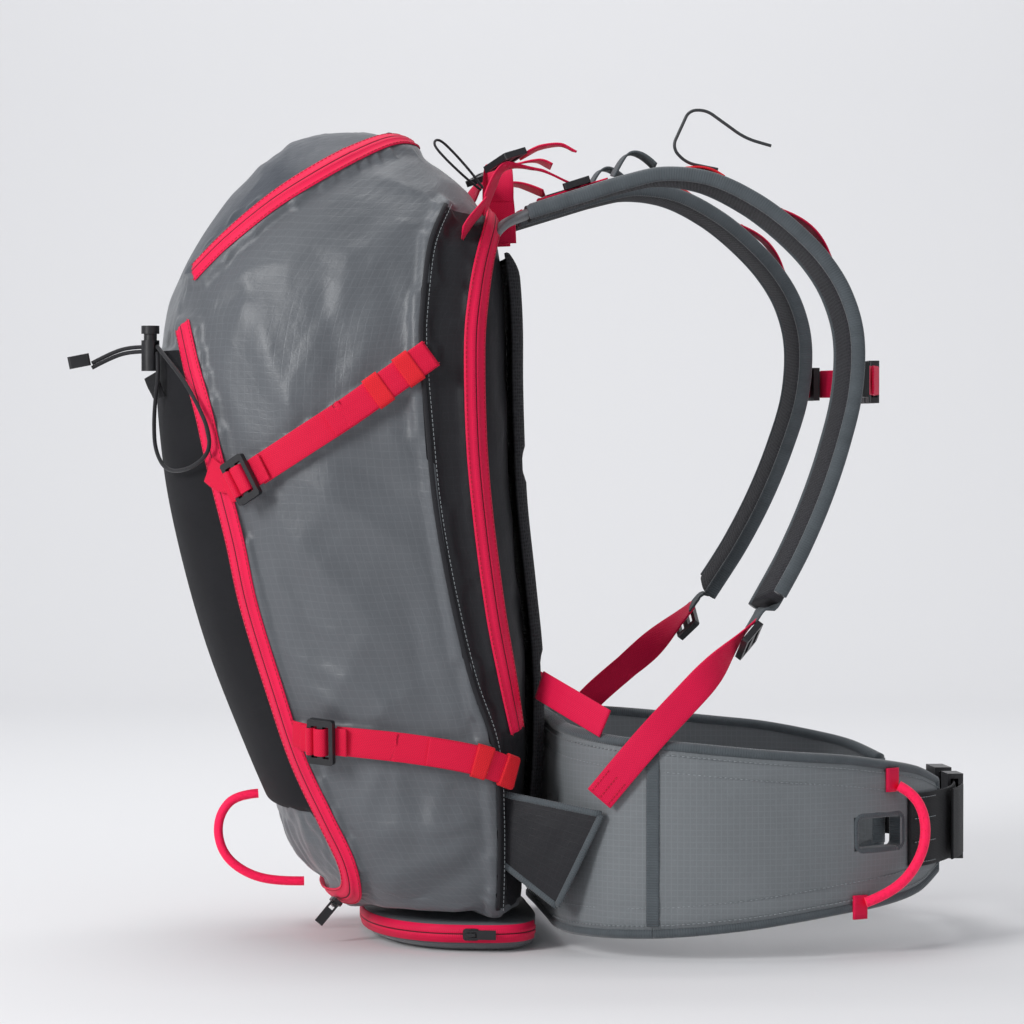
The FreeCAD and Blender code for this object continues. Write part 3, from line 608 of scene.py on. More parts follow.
def stitches(name, rows_of_frames, pitch, length, thick, thread, body="pack"):
    """Short raised threads along lines of frames."""
    points, faces = [], []
    for frames in rows_of_frames:
        spots = [p for p, a, n in frames]
        count = max(2, int(lengths_along(spots)[-1] / pitch))
        for i, f in even_shares(spots, count):
            p, a, n = frames[i]
            place = (p.lerp(frames[i + 1][0], f), a, n)
            start = len(points)
            points += block_points(place, (length, thick, thick))
            faces += [tuple(start + k for k in face) for face in BLOCK_FACES]
    return make_piece(name, points, faces, thread, body)


def moved_frames(frames, aside=0.0, out=0.0):
    return [(p + n.cross(a) * aside + n * out, a, n) for p, a, n in frames]


# ---------------------------------------------------------------- bag skin

RINGS = 116
ROUND = 150
SETTLING_FRAMES = 20
CORE_DEPTH = 3.5
MOST_SLIDE = 5.0
RISE_RANGE = (-4.5, 8.0)


def distance_to(outline, x, z):
    gaps = []
    for (ax, az), (bx, bz) in zip(outline, outline[1:]):
        dx, dz = bx - ax, bz - az
        t = ((x - ax) * dx + (z - az) * dz) / (dx * dx + dz * dz)
        t = min(max(t, 0.0), 1.0)
        gaps.append(math.hypot(x - ax - t * dx, z - az - t * dz))
    return min(gaps)


# Folds on the side panel: start, end, half width, height
FOLDS = [
    ((-150, 312), (-60, 215), 13, 3.6), ((-140, 300), (-95, 190), 10, -2.6),
    ((-120, 322), (-28, 262), 12, 2.8), ((-100, 336), (-24, 300), 10, -2.4),
    ((-60, 352), (-22, 330), 9, 2.2), ((-150, 272), (-118, 180), 9, 2.6),
    ((30, 88), (-70, 40), 13, 3.4), ((28, 78), (-40, 30), 10, -2.6),
    ((34, 96), (-80, 78), 11, 2.6), ((36, 104), (-62, 108), 9, -2.2),
    ((-30, 400), (-34, 470), 12, 3.2), ((-46, 396), (-62, 462), 10, -2.4),
    ((-150, 340), (-175, 400), 9, 2.4), ((-120, 356), (-150, 440), 14, 3.4),
    ((-92, 372), (-104, 470), 12, -2.4), ((-24, 290), (-2, 200), 8, -2.2),
    ((-36, 292), (-14, 170), 9, 2.4), ((-52, 250), (-30, 160), 9, -2.0),
    ((-100, 160), (-70, 230), 9, 2.0), ((-80, 158), (-30, 190), 8, 1.8),
    ((-60, 128), (-84, 60), 9, 2.0), ((-20, 126), (-30, 66), 9, 2.2),
    ((-190, 432), (-150, 458), 6, 2.4), ((-186, 438), (-140, 446), 5, -2.0),
    ((-200, 440), (-120, 470), 5, 1.8),
]


def fold_height(x, z):
    total = 0.0
    for (ax, az), (bx, bz), half, height in FOLDS:
        dx, dz = bx - ax, bz - az
        t = ((x - ax) * dx + (z - az) * dz) / (dx * dx + dz * dz)
        if t < -0.1 or t > 1.1:
            continue
        gap = abs((x - ax) * dz - (z - az) * dx) / math.hypot(dx, dz)
        taper = math.sin(math.pi * min(max((t + 0.1) / 1.2, 0.0), 1.0))
        total += 1.25 * height * taper / (1 + (1.5 * gap / half) ** 2)
    return total


def smooth_step(x, low, high):
    t = min(max((x - low) / (high - low), 0.0), 1.0)
    return t * t * (3 - 2 * t)


def zip_nearness(x, z):
    """How far the nearest seam that holds the cloth is."""
    return min(distance_to(line, x, z) for line in (LID_ZIP, FRONT_ZIP, REAR_ZIP, SIDE_SEAM))


def strap_nearness(x, z):
    return min(distance_to(line, x, z) for line in (UPPER_STRAP, LOWER_STRAP))


def region_at(x, z):
    """Which fabric the bag has at a place seen from the side."""
    if lid_side(x, z):
        return "lid"
    if z > 38 and z < 408 and outside_front_zip(x, z):
        return "front" if z > 92 else "pocket"
    if z < 505 and behind_seam(x, z):
        return "gusset"
    return "side"


def x_on(outline, z):
    """x of a side line at a height."""
    for (ax, az), (bx, bz) in zip(outline, outline[1:]):
        if min(az, bz) <= z <= max(az, bz) and abs(bz - az) > 1e-6:
            return ax + (bx - ax) * (z - az) / (bz - az)
    return None


def lid_side(x, z):
    if z < 461:
        return False
    if z > 553:
        return x < -30
    edge = x_on(LID_ZIP[:6], z)
    return edge is not None and x < edge


def outside_front_zip(x, z):
    edge = x_on(FRONT_ZIP, z)
    return edge is not None and x < edge


def behind_seam(x, z):
    edge = x_on(SIDE_SEAM, z)
    return edge is not None and x > edge


def skin_grid():
    """Rows of bag places as (row, turn), spread evenly up the bag and round each level."""
    spots = [ring_point(blend(BAG, i / 8.0), 2.2) for i in range(8 * (len(BAG) - 1) + 1)]
    levels = [(i + f) / 8.0 for i, f in even_shares(spots, RINGS)]
    rows = []
    for s in levels:
        row = blend(BAG, s)
        ring = [ring_point(row, 2 * math.pi * k / 360) for k in range(361)]
        turns = [(i + f) * 2 * math.pi / 360 for i, f in even_shares(ring, ROUND + 1)][:-1]
        rows.append([(s, t) for t in turns])
    return rows


def free_share(x, z):
    """0 at seams and straps, 1 where the fabric hangs free."""
    return min(smooth_step(zip_nearness(x, z), 7, 30), smooth_step(strap_nearness(x, z), 9, 24))


def crease_height(x, z, y):
    """Folds in the fabric over its smooth shape."""
    region = region_at(x, z)
    if region == "front":
        return 0.0
    bend = noise.noise(Vector((x * 0.010, y * 0.010, z * 0.010)))
    spot = Vector((x * 0.020 + bend, y * 0.012, z * 0.009 + bend)) + Vector((SEED, 0, 0))
    ridge = (1 - min(1.0, 2.2 * abs(noise.noise(spot)))) ** 2
    small = (1 - min(1.0, 2.4 * abs(noise.noise(spot * 2.3)))) ** 2
    crumple = 2.2 * ridge + 0.9 * small - 0.9
    if region in ("side", "gusset"):
        crumple += fold_height(x, z)
    return crumple * free_share(x, z) * (0.6 if region == "pocket" else 1.0)


def skin_height(x, z):
    """Resting height of the fabric over the true surface."""
    return 0.3 + 1.4 * free_share(x, z) * (0.3 if region_at(x, z) == "front" else 1.0)


def skin_hold(x, z):
    """1 where the cloth is sewn or strapped down, 0 where it is free."""
    seam = 1 - smooth_step(zip_nearness(x, z), 8, 15)
    strap = 1 - smooth_step(strap_nearness(x, z), 9, 14)
    region = region_at(x, z)
    firm = {"side": 0.0, "gusset": 0.3, "lid": 0.3, "front": 1.0, "pocket": 0.5}[region]
    return max(seam, strap, firm)


def make_bag_skin():
    rows = skin_grid()
    points, uvs, holds, rests = [], [], [], []
    normals, spots, creases = [], [], []
    for row in rows:
        ring = []
        for s, t in row:
            point, normal = surface_place(s, t)
            x, z = point.x, point.z
            ring.append(point)
            rests.append(point)
            normals.append(normal)
            spots.append((x, z))
            points.append(point + normal * skin_height(x, z))
            holds.append(skin_hold(x, z))
            creases.append(crease_height(x, z, point.y))
        outermost = len(ring) // 2
        lengths = lengths_along(ring)
        for k in range(len(ring)):
            uvs.append((lengths[k] - lengths[outermost], ring[k].z))
    faces = ring_faces(RINGS, ROUND)
    points = settle_cloth(points, faces, holds, rests, normals)
    points = [p + n * crease for p, n, crease in zip(points, normals, creases)]
    split_skin(points, faces, uvs, spots)


def settle_cloth(points, faces, holds, rests, normals):
    """Cloth that is a little too big for its seams, over a firm core, wrinkles as it settles."""
    cloth = make_piece("cloth_trial", points, faces, "side_fabric", None)
    group = cloth.vertex_groups.new(name="held")
    for index, hold in enumerate(holds):
        group.add([index], hold, "REPLACE")
    inside = [p - n * CORE_DEPTH for p, n in zip(rests, normals)]
    core = make_piece("core_trial", inside, faces, "side_fabric", None)
    core.modifiers.new("stop", "COLLISION")
    core.collision.thickness_outer = 0.001
    sim = cloth.modifiers.new("cloth", "CLOTH")
    sim.settings.quality = 5
    sim.settings.mass = 0.15
    sim.settings.tension_stiffness = 20
    sim.settings.compression_stiffness = 20
    sim.settings.shear_stiffness = 5
    sim.settings.bending_stiffness = 0.01
    sim.settings.vertex_group_mass = "held"
    sim.settings.shrink_min = -0.06
    sim.settings.use_pressure = True
    sim.settings.uniform_pressure_force = 0.25
    sim.settings.effector_weights.gravity = 0.8
    sim.collision_settings.distance_min = 0.001
    sim.point_cache.frame_start = 1
    sim.point_cache.frame_end = SETTLING_FRAMES
    for moment in range(1, SETTLING_FRAMES + 1):
        bpy.context.scene.frame_set(moment)
    settled = cloth.evaluated_get(bpy.context.evaluated_depsgraph_get()).data
    found = [v.co / MM for v in settled.vertices]
    bpy.context.scene.frame_set(1)
    for trial in (cloth, core):
        bpy.data.objects.remove(trial)
    out = []
    for end, rest, normal in zip(found, rests, normals):
        rise = (end - rest).dot(normal)
        slide = (end - rest) - normal * rise
        if slide.length > MOST_SLIDE:
            slide *= MOST_SLIDE / slide.length
        out.append(rest + slide + normal * min(max(rise, RISE_RANGE[0]), RISE_RANGE[1]))
    return out


SKINS = {
    "side": ("bag_side_skin", "side_fabric", "bag_body"),
    "lid": ("lid_skin", "lid_fabric", "lid_pocket"),
    "front": ("front_skin", "black_fabric", "front_panel"),
    "pocket": ("pocket_skin", "side_fabric", "lower_front_pocket"),
    "gusset": ("gusset_skin", "dark_fabric", "rear_gusset"),
}


def split_skin(points, faces, uvs, spots):
    """One piece for each fabric, cut along the seams."""
    sets = {key: [] for key in SKINS}
    for face in faces:
        x = sum(spots[k][0] for k in face) / len(face)
        z = sum(spots[k][1] for k in face) / len(face)
        sets["side" if len(face) > 4 and z < 100 else region_at(x, z)].append(face)
    for key, chosen in sets.items():
        name, cloth, node = SKINS[key]
        used = sorted({k for face in chosen for k in face})
        number = {k: i for i, k in enumerate(used)}
        cut = [tuple(number[k] for k in face) for face in chosen]
        piece = make_piece(name, [points[k] for k in used], cut, cloth, "pack", [uvs[k] for k in used])
        finer = piece.modifiers.new("finer", "SUBSURF")
        finer.levels = 1
        finer.render_levels = 2
        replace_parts(piece, node)


# ---------------------------------------------------------------- zips and seams

def make_zips():
    for name, outline in (("lid_zip", LID_ZIP), ("front_zip", FRONT_ZIP), ("rear_zip", REAR_ZIP)):
        frames = surface_line(outline, 260, True)
        sweep(name + "_tape", frames, zip_profile(), "zip_tape", node=name)
        rows = [moved_frames(frames, side, 1.25) for side in (-7.4, 7.4)]
        stitches(name + "_stitch", rows, 3.2, 2.1, 0.45, RED_THREAD)
    half = [(6, 0.3), (6, 1.2), (3.2, 1.5), (2.6, 2.2), (0.45, 2.3)]
    profile = half + [(0, 1.7)] + [(-x, y) for x, y in reversed(half)]
    sweep("base_zip_tape", base_frames(200), profile, "zip_tape", node="base_zip")


def base_frames(count):
    """Line of the base zip, which stops short of the wearer side at both ends."""
    row = blend(BASE, row_at_height(BASE, 13.0))
    gap = 0.62
    spots = [ring_point(row, gap + 2 * (math.pi - gap) * i / 160.0) for i in range(161)]
    points = [spots[i].lerp(spots[i + 1], f) for i, f in even_shares(spots, count)]
    return [(p, a, Vector((0, 0, 1)).cross(a).normalized()) for p, a in zip(points, directions(points))]


def make_base():
    """Base compartment shell with a soft rounded foot."""
    points, uvs = [], []
    rows = [0, 0.25, 0.5, 1, 1.5, 2, 3, 4]
    count = 160
    for s in rows:
        row = blend(BASE, s)
        for k in range(count):
            turn = 2 * math.pi * k / count
            point = ring_point(row, turn)
            sag = 0.8 * noise.noise(Vector((point.x * 0.03, point.y * 0.03, 3)))
            points.append(point + Vector((sag, sag, 0)))
            uvs.append((3.2 * k, point.z))
    faces = ring_faces(len(rows), count)
    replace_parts(make_piece("base_skin", points, faces, "side_fabric", "pack", uvs), "base_compartment")


def make_seams():
    """Rolled seams where two fabrics meet away from a zip."""
    for side in (0, 1):
        frames = flipped(surface_line(SIDE_SEAM, 150), side)
        sweep("side_seam_%d" % side, moved_frames(frames, 0, 1.3), tube_profile(3.4, 1.4), "dark_fabric")
        stitches("side_seam_stitch_%d" % side, [moved_frames(frames, 3.6, 1.6)], 3.0, 2.0, 0.4, THREAD)


# ---------------------------------------------------------------- straps on the bag

UPPER_LOCK = (-149, 321)
LOWER_LOCK = (-97, 146)
UPPER_ANCHOR = [(-172, 327), (-163, 321), (-147, 322)]
LOWER_ANCHOR = [(-116, 150), (-108, 148), (-97, 146)]


def nearest_frame(frames, x, z):
    return min(frames, key=lambda f: math.hypot(f[0].x - x, f[0].z - z))


def in_lock(place, path, name):
    """Webbing bent through a ladder lock; path is (along, out) in the frame of the lock."""
    point, along, normal = place
    aside = normal.cross(along)
    points = smooth_line([tuple(point + along * a + normal * h) for a, h in path], 40)
    heads = directions(points)
    sweep(name, [(p, d, d.cross(aside)) for p, d in zip(points, heads)],
          flat_profile(WEBBING_WIDTH - 1, -0.65, 0.65), "red_webbing")


STRAP_BEND = [(-17, 4.2), (-10, 5.2), (-5.6, 7.0), (-3.6, 11.6), (0, 12.6), (3.2, 11.6), (3.6, 7.6),
              (0, 5.9), (-9, 5.6), (-18, 5.6)]
ANCHOR_BEND = [(17, 5.6), (11, 6.2), (10.2, 9.5), (8, 12.6), (5.8, 11.4), (5.4, 7.6), (9, 5.2),
               (17, 4.6)]


def make_compression_straps():
    count = 140
    spans = (("upper", UPPER_STRAP, UPPER_LOCK, UPPER_ANCHOR, ((-44, 393), (-63, 379)), 0.52),
             ("lower", LOWER_STRAP, LOWER_LOCK, LOWER_ANCHOR, ((22, 124), (4, 131)), 0.45))
    for name, outline, lock, anchor, bands, loose in spans:
        for side in (0, 1):
            label = "%s_%d" % (name, side)
            frames = flipped(surface_line(outline, count), side)
            place = nearest_frame(frames, *lock)
            here = frames.index(place)
            sweep("strap_" + label, frames[:here - 8], flat_profile(WEBBING_WIDTH, 2.4, 4.0),
                  "red_webbing", node="compression_straps")
            sweep("strap_end_" + label, frames[1:int(count * loose)],
                  flat_profile(WEBBING_WIDTH - 1, 4.1, 5.5), "red_webbing")
            in_lock(place, STRAP_BEND, "strap_bend_" + label)
            held = flipped(surface_line(anchor, 30), side)
            sweep("anchor_" + label, held[:24], flat_profile(WEBBING_WIDTH - 1, 4.0, 5.4),
                  "red_webbing", node="strap_anchors")
            in_lock(place, ANCHOR_BEND, "anchor_bend_" + label)
            for number, spot in enumerate(bands):
                i = frames.index(nearest_frame(frames, *spot))
                around = frames[max(i - 5, 0):i + 6]
                sweep("keeper_%s_%d" % (label, number), around,
                      flat_profile(WEBBING_WIDTH + 3, 2.0, 6.9), "orange_elastic", node="strap_keepers")
            edges = [moved_frames(frames[:here - 10], w, 4.05) for w in (-8.4, 8.4)]
            sewn = [edge[:16] for edge in edges]
            stitches("strap_stitch_" + label, sewn, 2.6, 1.8, 0.5, RED_THREAD)


# ---------------------------------------------------------------- back panel

PAD_HALF = 84.0
PAD_FOOT = 62.0
PAD_TOP = 474.0
PAD_CHANNELS = (190, 330)


def make_back_panel():
    """Foam pads under mesh with a channel down the middle and two across."""
    points, uvs = [], []
    tall, wide = 100, 50
    for i in range(tall + 1):
        z = PAD_FOOT + (PAD_TOP - PAD_FOOT) * i / tall
        s = row_at_height(BAG, z)
        row = blend(BAG, s)
        for k in range(wide + 1):
            y = -PAD_HALF + 2 * PAD_HALF * k / wide
            turn = turn_at(row, y)
            point, normal = surface_place(s, turn)
            edge = min(PAD_HALF - abs(y), z - PAD_FOOT, PAD_TOP - z)
            rise = 2.0 + 6.6 * math.sqrt(smooth_step(edge, -2, 16))
            rise -= 3.8 * (1 - smooth_step(abs(y), 5, 15)) * smooth_step(edge, 4, 20)
            for level in PAD_CHANNELS:
                rise -= 3.6 * (1 - smooth_step(abs(z - level), 4, 12)) * smooth_step(edge, 4, 20)
            points.append(point + normal * rise)
            uvs.append((y, z))
    panel = make_piece("back_pads", points, grid_faces(tall, wide), "mesh_foam", "pack", uvs)
    thick = panel.modifiers.new("thick", "SOLIDIFY")
    thick.thickness = 0.002
    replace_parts(panel, "back_panel")


def turn_at(row, y):
    """Turn on the wearer side where the section reaches this y."""
    return crossing(-1.5, 1.5, lambda turn: ring_point(row, turn).y > y)


# ---------------------------------------------------------------- hip belt

BELT_THICK = 11.0
# Right half of the belt from the middle of the back: x, y, lower edge, upper edge
BELT = [(65, 0, 16, 152), (65, -45, 16, 152), (65, -86, 16, 151), (72, -116, 16, 149),
        (90, -143, 17, 146), (110, -157, 18, 144), (127, -163.4, 19, 143), (150, -168, 21, 141),
        (180, -169, 24, 138), (212, -164, 28, 135), (245, -153, 32, 132), (276, -136, 35, 127),
        (303, -113, 40, 121), (322, -88, 50, 112)]
BELT_END = len(BELT) - 1.0
# Rows: the padding is divided at the seam, and the parts on the wing are placed from its start
SEAM_ROW = 5.5
WING_START = 6.0
# Opening in the wing: x from, x to, z from, z to
WINDOW = (254, 290, 70, 94)
BELT_EDGE = tube_profile(7.5, 12.0)


def belt_frame(row, side):
    """Plan point, direction, outwards, lower and upper edge at a row number."""
    x, y, low, high = blend(BELT, row)
    a, b = blend(BELT, row - 0.05), blend(BELT, row + 0.05)
    along = Vector((b[0] - a[0], b[1] - a[1], 0)).normalized()
    out = Vector((along.y, -along.x, 0))
    if side:
        (point, along, out), = mirrored_frames([(Vector((x, y, 0)), along, out)])
        return point, along, out, low, high
    return Vector((x, y, 0)), along, out, low, high


def belt_rows(first, last, per_row, side, whole):
    """Places along a stretch of belt; whole starts it at the same row of the left side."""
    count = int((last - first) * per_row)
    rows = [belt_frame(first + (last - first) * i / count, side) for i in range(count + 1)]
    if whole:
        rows = [belt_frame(last * (count - i) / count, 1) for i in range(count)] + rows
    return rows


def belt_wall(name, first, last, side, window=False, whole=False):
    """Padded wall with rounded edges; its outer face is quilted along two lines."""
    tall = 26
    stations = belt_rows(first, last, 18, side, whole)
    travelled = lengths_along([station[0] for station in stations])
    points, uvs = [], []
    for (point, along, out, low, high), u in zip(stations, travelled):
        for face in (1, -1):
            levels = range(tall + 1) if face > 0 else range(tall, -1, -1)
            for k in levels:
                share = k / tall
                z = low + (high - low) * share
                edge = min(z - low, high - z)
                puff = math.sqrt(smooth_step(edge, -5, 9))
                dip = 0.9 * (1 - smooth_step(abs(edge - 17), 0, 4)) if face > 0 else 0.0
                swell = 0.5 * noise.noise(Vector((u * 0.04, z * 0.05, face)))
                lift = face * (0.5 * BELT_THICK * puff - dip + swell)
                points.append(point + out * lift + Vector((0, 0, z)))
                uvs.append((u, z))
    faces = ring_faces(len(stations), 2 * (tall + 1))
    if window:
        faces = [face for face in faces if len(face) > 4 or not in_window(points[face[0]], points[face[2]])]
    return make_piece(name, points, faces, "belt_fabric", None, uvs)


def in_window(corner, opposite):
    centre = (corner + opposite) * 0.5
    return WINDOW[0] < centre.x < WINDOW[1] and WINDOW[2] < centre.z < WINDOW[3]


def edge_frames(first, last, side, upper, whole=False):
    rows = belt_rows(first, last, 16, side, whole)
    points = [p + Vector((0, 0, high if upper else low)) for p, a, o, low, high in rows]
    heads = directions(points)
    outs = [o for p, a, o, low, high in rows]
    return [(p, d, (o - d * o.dot(d)).normalized()) for p, d, o in zip(points, heads, outs)]


def ride_belt(piece, wing):
    """Lumbar pieces ride the pack; wing pieces keep their placement baked into the mesh."""
    if not wing:
        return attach(piece, "pack")
    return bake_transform(piece)


def belt_trim(label, first, last, side, wing, whole=False):
    """Binding round both edges and a row of stitches along the binding and quilting."""
    for upper in (0, 1):
        frames = edge_frames(first, last, side, upper, whole)
        way = -1 if upper else 1
        bind = sweep("belt_binding_%s_%d" % (label, upper), frames, BELT_EDGE, BINDING, None)
        ride_belt(bind, wing)
        rows = []
        for drop, out in ((5.4, 5.7), (17, 5.0)):
            rows.append([(p + n * out + Vector((0, 0, way * drop)), a, n) for p, a, n in frames])
        threads = stitches("belt_stitch_%s_%d" % (label, upper), rows, 3.4, 2.2, 0.5, THREAD, None)
        ride_belt(threads, wing)


def make_belt():
    lumbar = belt_wall("lumbar_padding", 0.0, SEAM_ROW, 0, whole=True)
    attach(lumbar, "pack")
    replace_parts(lumbar, "lumbar_pad")
    belt_trim("lumbar", 0.0, SEAM_ROW, 0, False, whole=True)
    for side, word in SIDES:
        wing = belt_wall("wing_padding_" + word, SEAM_ROW, BELT_END, side, window=True)
        ride_belt(wing, True)
        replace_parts(wing, "hip_wing_" + word)
        belt_trim(word, SEAM_ROW, BELT_END, side, True)
        belt_seam(side, word)
        window_rim(side, word)
        wing_end(side, word)


def belt_row_at(x):
    return crossing(WING_START, BELT_END, lambda row: blend(BELT, row)[0] < x)


def belt_seam(side, word):
    """Tape over the seam between the lumbar pad and the wing, on both faces."""
    point, along, out, low, high = belt_frame(SEAM_ROW, side)
    for number, way in enumerate((1, -1)):
        base = point + out * (way * 0.5 * BELT_THICK)
        rise = [base + Vector((0, 0, low + 5 + (high - low - 10) * k / 20.0)) for k in range(21)]
        frames = [(p, Vector((0, 0, 1)), out * way) for p in rise]
        tape = sweep("belt_seam_%s_%d" % (word, number), frames, flat_profile(9, -0.8, 1.0), BINDING, None)
        ride_belt(tape, True)


def window_rim(side, word):
    """Bound edge of the opening in the wing."""
    left, right, bottom, top = WINDOW
    corners = []
    radius = 5
    for cx, cz, start in ((right - radius, bottom + radius, -90), (right - radius, top - radius, 0),
                          (left + radius, top - radius, 90), (left + radius, bottom + radius, 180)):
        for k in range(7):
            angle = math.radians(start + 15 * k)
            corners.append((cx + radius * math.cos(angle), cz + radius * math.sin(angle)))
    corners.append(corners[0])
    points, outs = [], []
    for (ax, az), (bx, bz) in zip(corners, corners[1:]):
        steps = max(1, int(math.hypot(bx - ax, bz - az) / 2))
        for k in range(steps):
            x, z = ax + (bx - ax) * k / steps, az + (bz - az) * k / steps
            point, along, out, low, high = belt_frame(belt_row_at(x), side)
            points.append(point + Vector((0, 0, z)))
            outs.append(out)
    points.append(points[0])
    outs.append(outs[0])
    frames = [(p, a, a.cross(o).normalized()) for p, a, o in zip(points, directions(points), outs)]
    rim = sweep("window_rim_" + word, frames, flat_profile(12.5, -2.2, 2.2), BINDING, None)
    ride_belt(rim, True)


def wing_end(side, word):
    """Bound end of the wing."""
    point, along, out, low, high = belt_frame(12.98, side)
    points = [point + Vector((0, 0, low + (high - low) * k / 20.0)) for k in range(21)]
    frames = [(p, Vector((0, 0, 1)), out) for p in points]
    ride_belt(sweep("wing_end_" + word, frames, BELT_EDGE, BINDING, None), True)


def wing_place(row, out, side=0):
    """Plan point on the outer side of the wing; row counts from the start of the wing."""
    point, along, outwards, low, high = belt_frame(row + WING_START, side)
    return point + outwards * (0.5 * BELT_THICK + out)


HIP_WEBBING_MIDDLE = 81.0
HIP_WEBBING = [(331, -86), (339, -70), (347, -48), (351, -30)]


def make_hip_webbing():
    z = HIP_WEBBING_MIDDLE
    for side, word, end in ((0, "right", (351.8, -17)), (1, "left", (351.6, -30.5))):
        rows = [(p.x, p.y, z) for p in (wing_place(*spot) for spot in ((5.6, 1.4), (6.0, 1.8), (6.4, 2.2)))]
        rows += [(x, y, z) for x, y in HIP_WEBBING if y < end[1] - 8] + [(end[0], end[1], z)]
        frames = flipped(level_frames(rows, 60), side)
        tail = [(x + 6, y, z) for x, y in HIP_WEBBING[:3]] + [(352.5, -44, z)]
        body = "wing_" + word
        sweep("hip_strap_" + word, frames, flat_profile(50, -0.9, 0.9), "black_webbing", body,
              "hip_webbing_" + word)
        sweep("hip_strap_end_" + word, flipped(level_frames(tail, 24), side), flat_profile(49, -0.9, 0.9),
              "black_webbing", body)
        sewn = [moved_frames(frames[3:16], w, 1.2) for w in (-22, -8, 8, 22)]
        stitches("hip_strap_stitch_" + word, sewn, 2.8, 1.9, 0.5, THREAD, body)


# ---------------------------------------------------------------- shoulder straps

STRAP_WIDTH = 66.0
STRAP_THICK = 11.0
NARROW_WEBBING = flat_profile(20, -0.8, 0.8)
STRAP = [
    (44, -61, 502), (76, -64, 512), (109, -69, 522), (136, -74, 527), (166, -79, 523), (195, -83, 509),
    (220, -87, 490), (241, -90, 468), (255, -92, 444), (262, -95, 415), (260, -98, 379), (250, -104, 342),
    (236, -111, 305), (219, -119, 270), (200, -127, 238),
]
ACROSS = Vector((0, 1, 0))


def strap_spot(row):
    point = Vector(blend(STRAP, row))
    along = (Vector(blend(STRAP, row + 0.1)) - Vector(blend(STRAP, row - 0.1))).normalized()
    return point, along, along.cross(ACROSS).normalized()


def strap_outside(row, lift):
    point, along, normal = strap_spot(row)
    return point + normal * (0.5 * STRAP_THICK + lift)


def band_frames(first, last, lift, arch=0.0, count=40):
    """Band on the outer face of the strap between two rows, arched away from it in the middle."""
    rows = []
    for i in range(9):
        share = i / 8.0
        lifted = lift + arch * math.sin(math.pi * share)
        rows.append(tuple(strap_outside(first + (last - first) * share, lifted)))
    return width_frames(rows, ACROSS, count)


def pad_section(width, thick, sides=40, fullness=3.4):
    """Flat pad with full round edges."""
    out = []
    for k in range(sides):
        c, d = math.cos(2 * math.pi * k / sides), math.sin(2 * math.pi * k / sides)
        out.append((0.5 * width * math.copysign(abs(c) ** (2 / fullness), c),
                    0.5 * thick * math.copysign(abs(d) ** (2 / 2.4), d)))
    return out


def make_shoulder_straps():
    frames = width_frames(STRAP, ACROSS, 150)
    for side, word in SIDES:
        pad = sweep("strap_padding_" + word, flipped(frames, side),
                    pad_section(STRAP_WIDTH - 3, STRAP_THICK), "strap_mesh",
                    node="shoulder_strap_" + word)
        sweep("strap_cover_" + word, flipped(frames[1:74], side),
              [(27, 5.0), (24, 5.7), (0, 6.1), (-24, 5.7), (-27, 5.0), (-24, 4.6), (0, 4.8), (24, 4.6)],
              "belt_fabric")
        for number, w in enumerate((-31.2, 31.2)):
            edge = moved_frames(frames, w)
            label = "%s_%d" % (word, number)
            sweep("strap_binding_" + label, flipped(edge, side), pad_section(6.6, 9.6, 14, 2.2), BINDING)
            inner = flipped(moved_frames(frames[2:-2], w * 0.845, 5.15), side)
            stitches("strap_edge_stitch_" + label, [inner], 3.4, 2.2, 0.5, THREAD)
        make_strap_fittings(side, word)


def make_strap_fittings(side, word):
    """Webbing and bands on the outer face of one shoulder strap."""
    sewn = band_frames(0.35, 1.75, 1.2)
    loop = band_frames(5.5, 7.2, 1.2, 6)
    pieces = (
        ("strap_sewn_", sewn, flat_profile(20, -0.7, 0.7), "pink_webbing", None),
        ("strap_band_", band_frames(1.85, 2.85, 1.9, 12), flat_profile(30, -0.8, 0.8), "grey_webbing",
         "strap_bands"),
        ("strap_tab_", band_frames(3.5, 4.3, 1.2, 2.0), flat_profile(26, -0.8, 0.8), "orange_elastic",
         "strap_tabs"),
        ("strap_loop_", loop, NARROW_WEBBING, "pink_webbing", "strap_loops"),
        ("sternum_rail_", band_frames(8.8, 10.9, 1.2, 0, 60), flat_profile(10, -0.6, 0.8),
         "grey_webbing", "sternum_rails"),
    )
    for name, frames, profile, cloth, node in pieces:
        sweep(name + word, flipped(frames, side), profile, cloth, node=node)
    tacks = []
    for stretch in (sewn[1:6], loop[1:4], loop[-4:-1]):
        tacks += [flipped(moved_frames(stretch, w, 1.0), side) for w in (-7.5, 0, 7.5)]
    stitches("strap_bar_" + word, tacks, 2.2, 1.6, 0.5, RED_THREAD)


def make_load_lifters():
    taut = [tuple(side_point(5, 500, 9.0)), (26, -79, 531), (50, -70, 532), tuple(strap_outside(0.95, 8.6))]
    loose = [(40, -74, 541), (52, -71, 547), (66, -69, 549), (76, -68, 545)]
    lifter = width_frames(taut, Vector((0.3, 1, 0)), 60)
    tail = width_frames(loose, Vector((0.2, 1, 0)), 30)
    for side in (0, 1):
        sweep("lifter_%d" % side, flipped(lifter, side), NARROW_WEBBING, "pink_webbing",
              node="load_lifters")
        sweep("lifter_end_%d" % side, flipped(tail, side), NARROW_WEBBING, "pink_webbing")


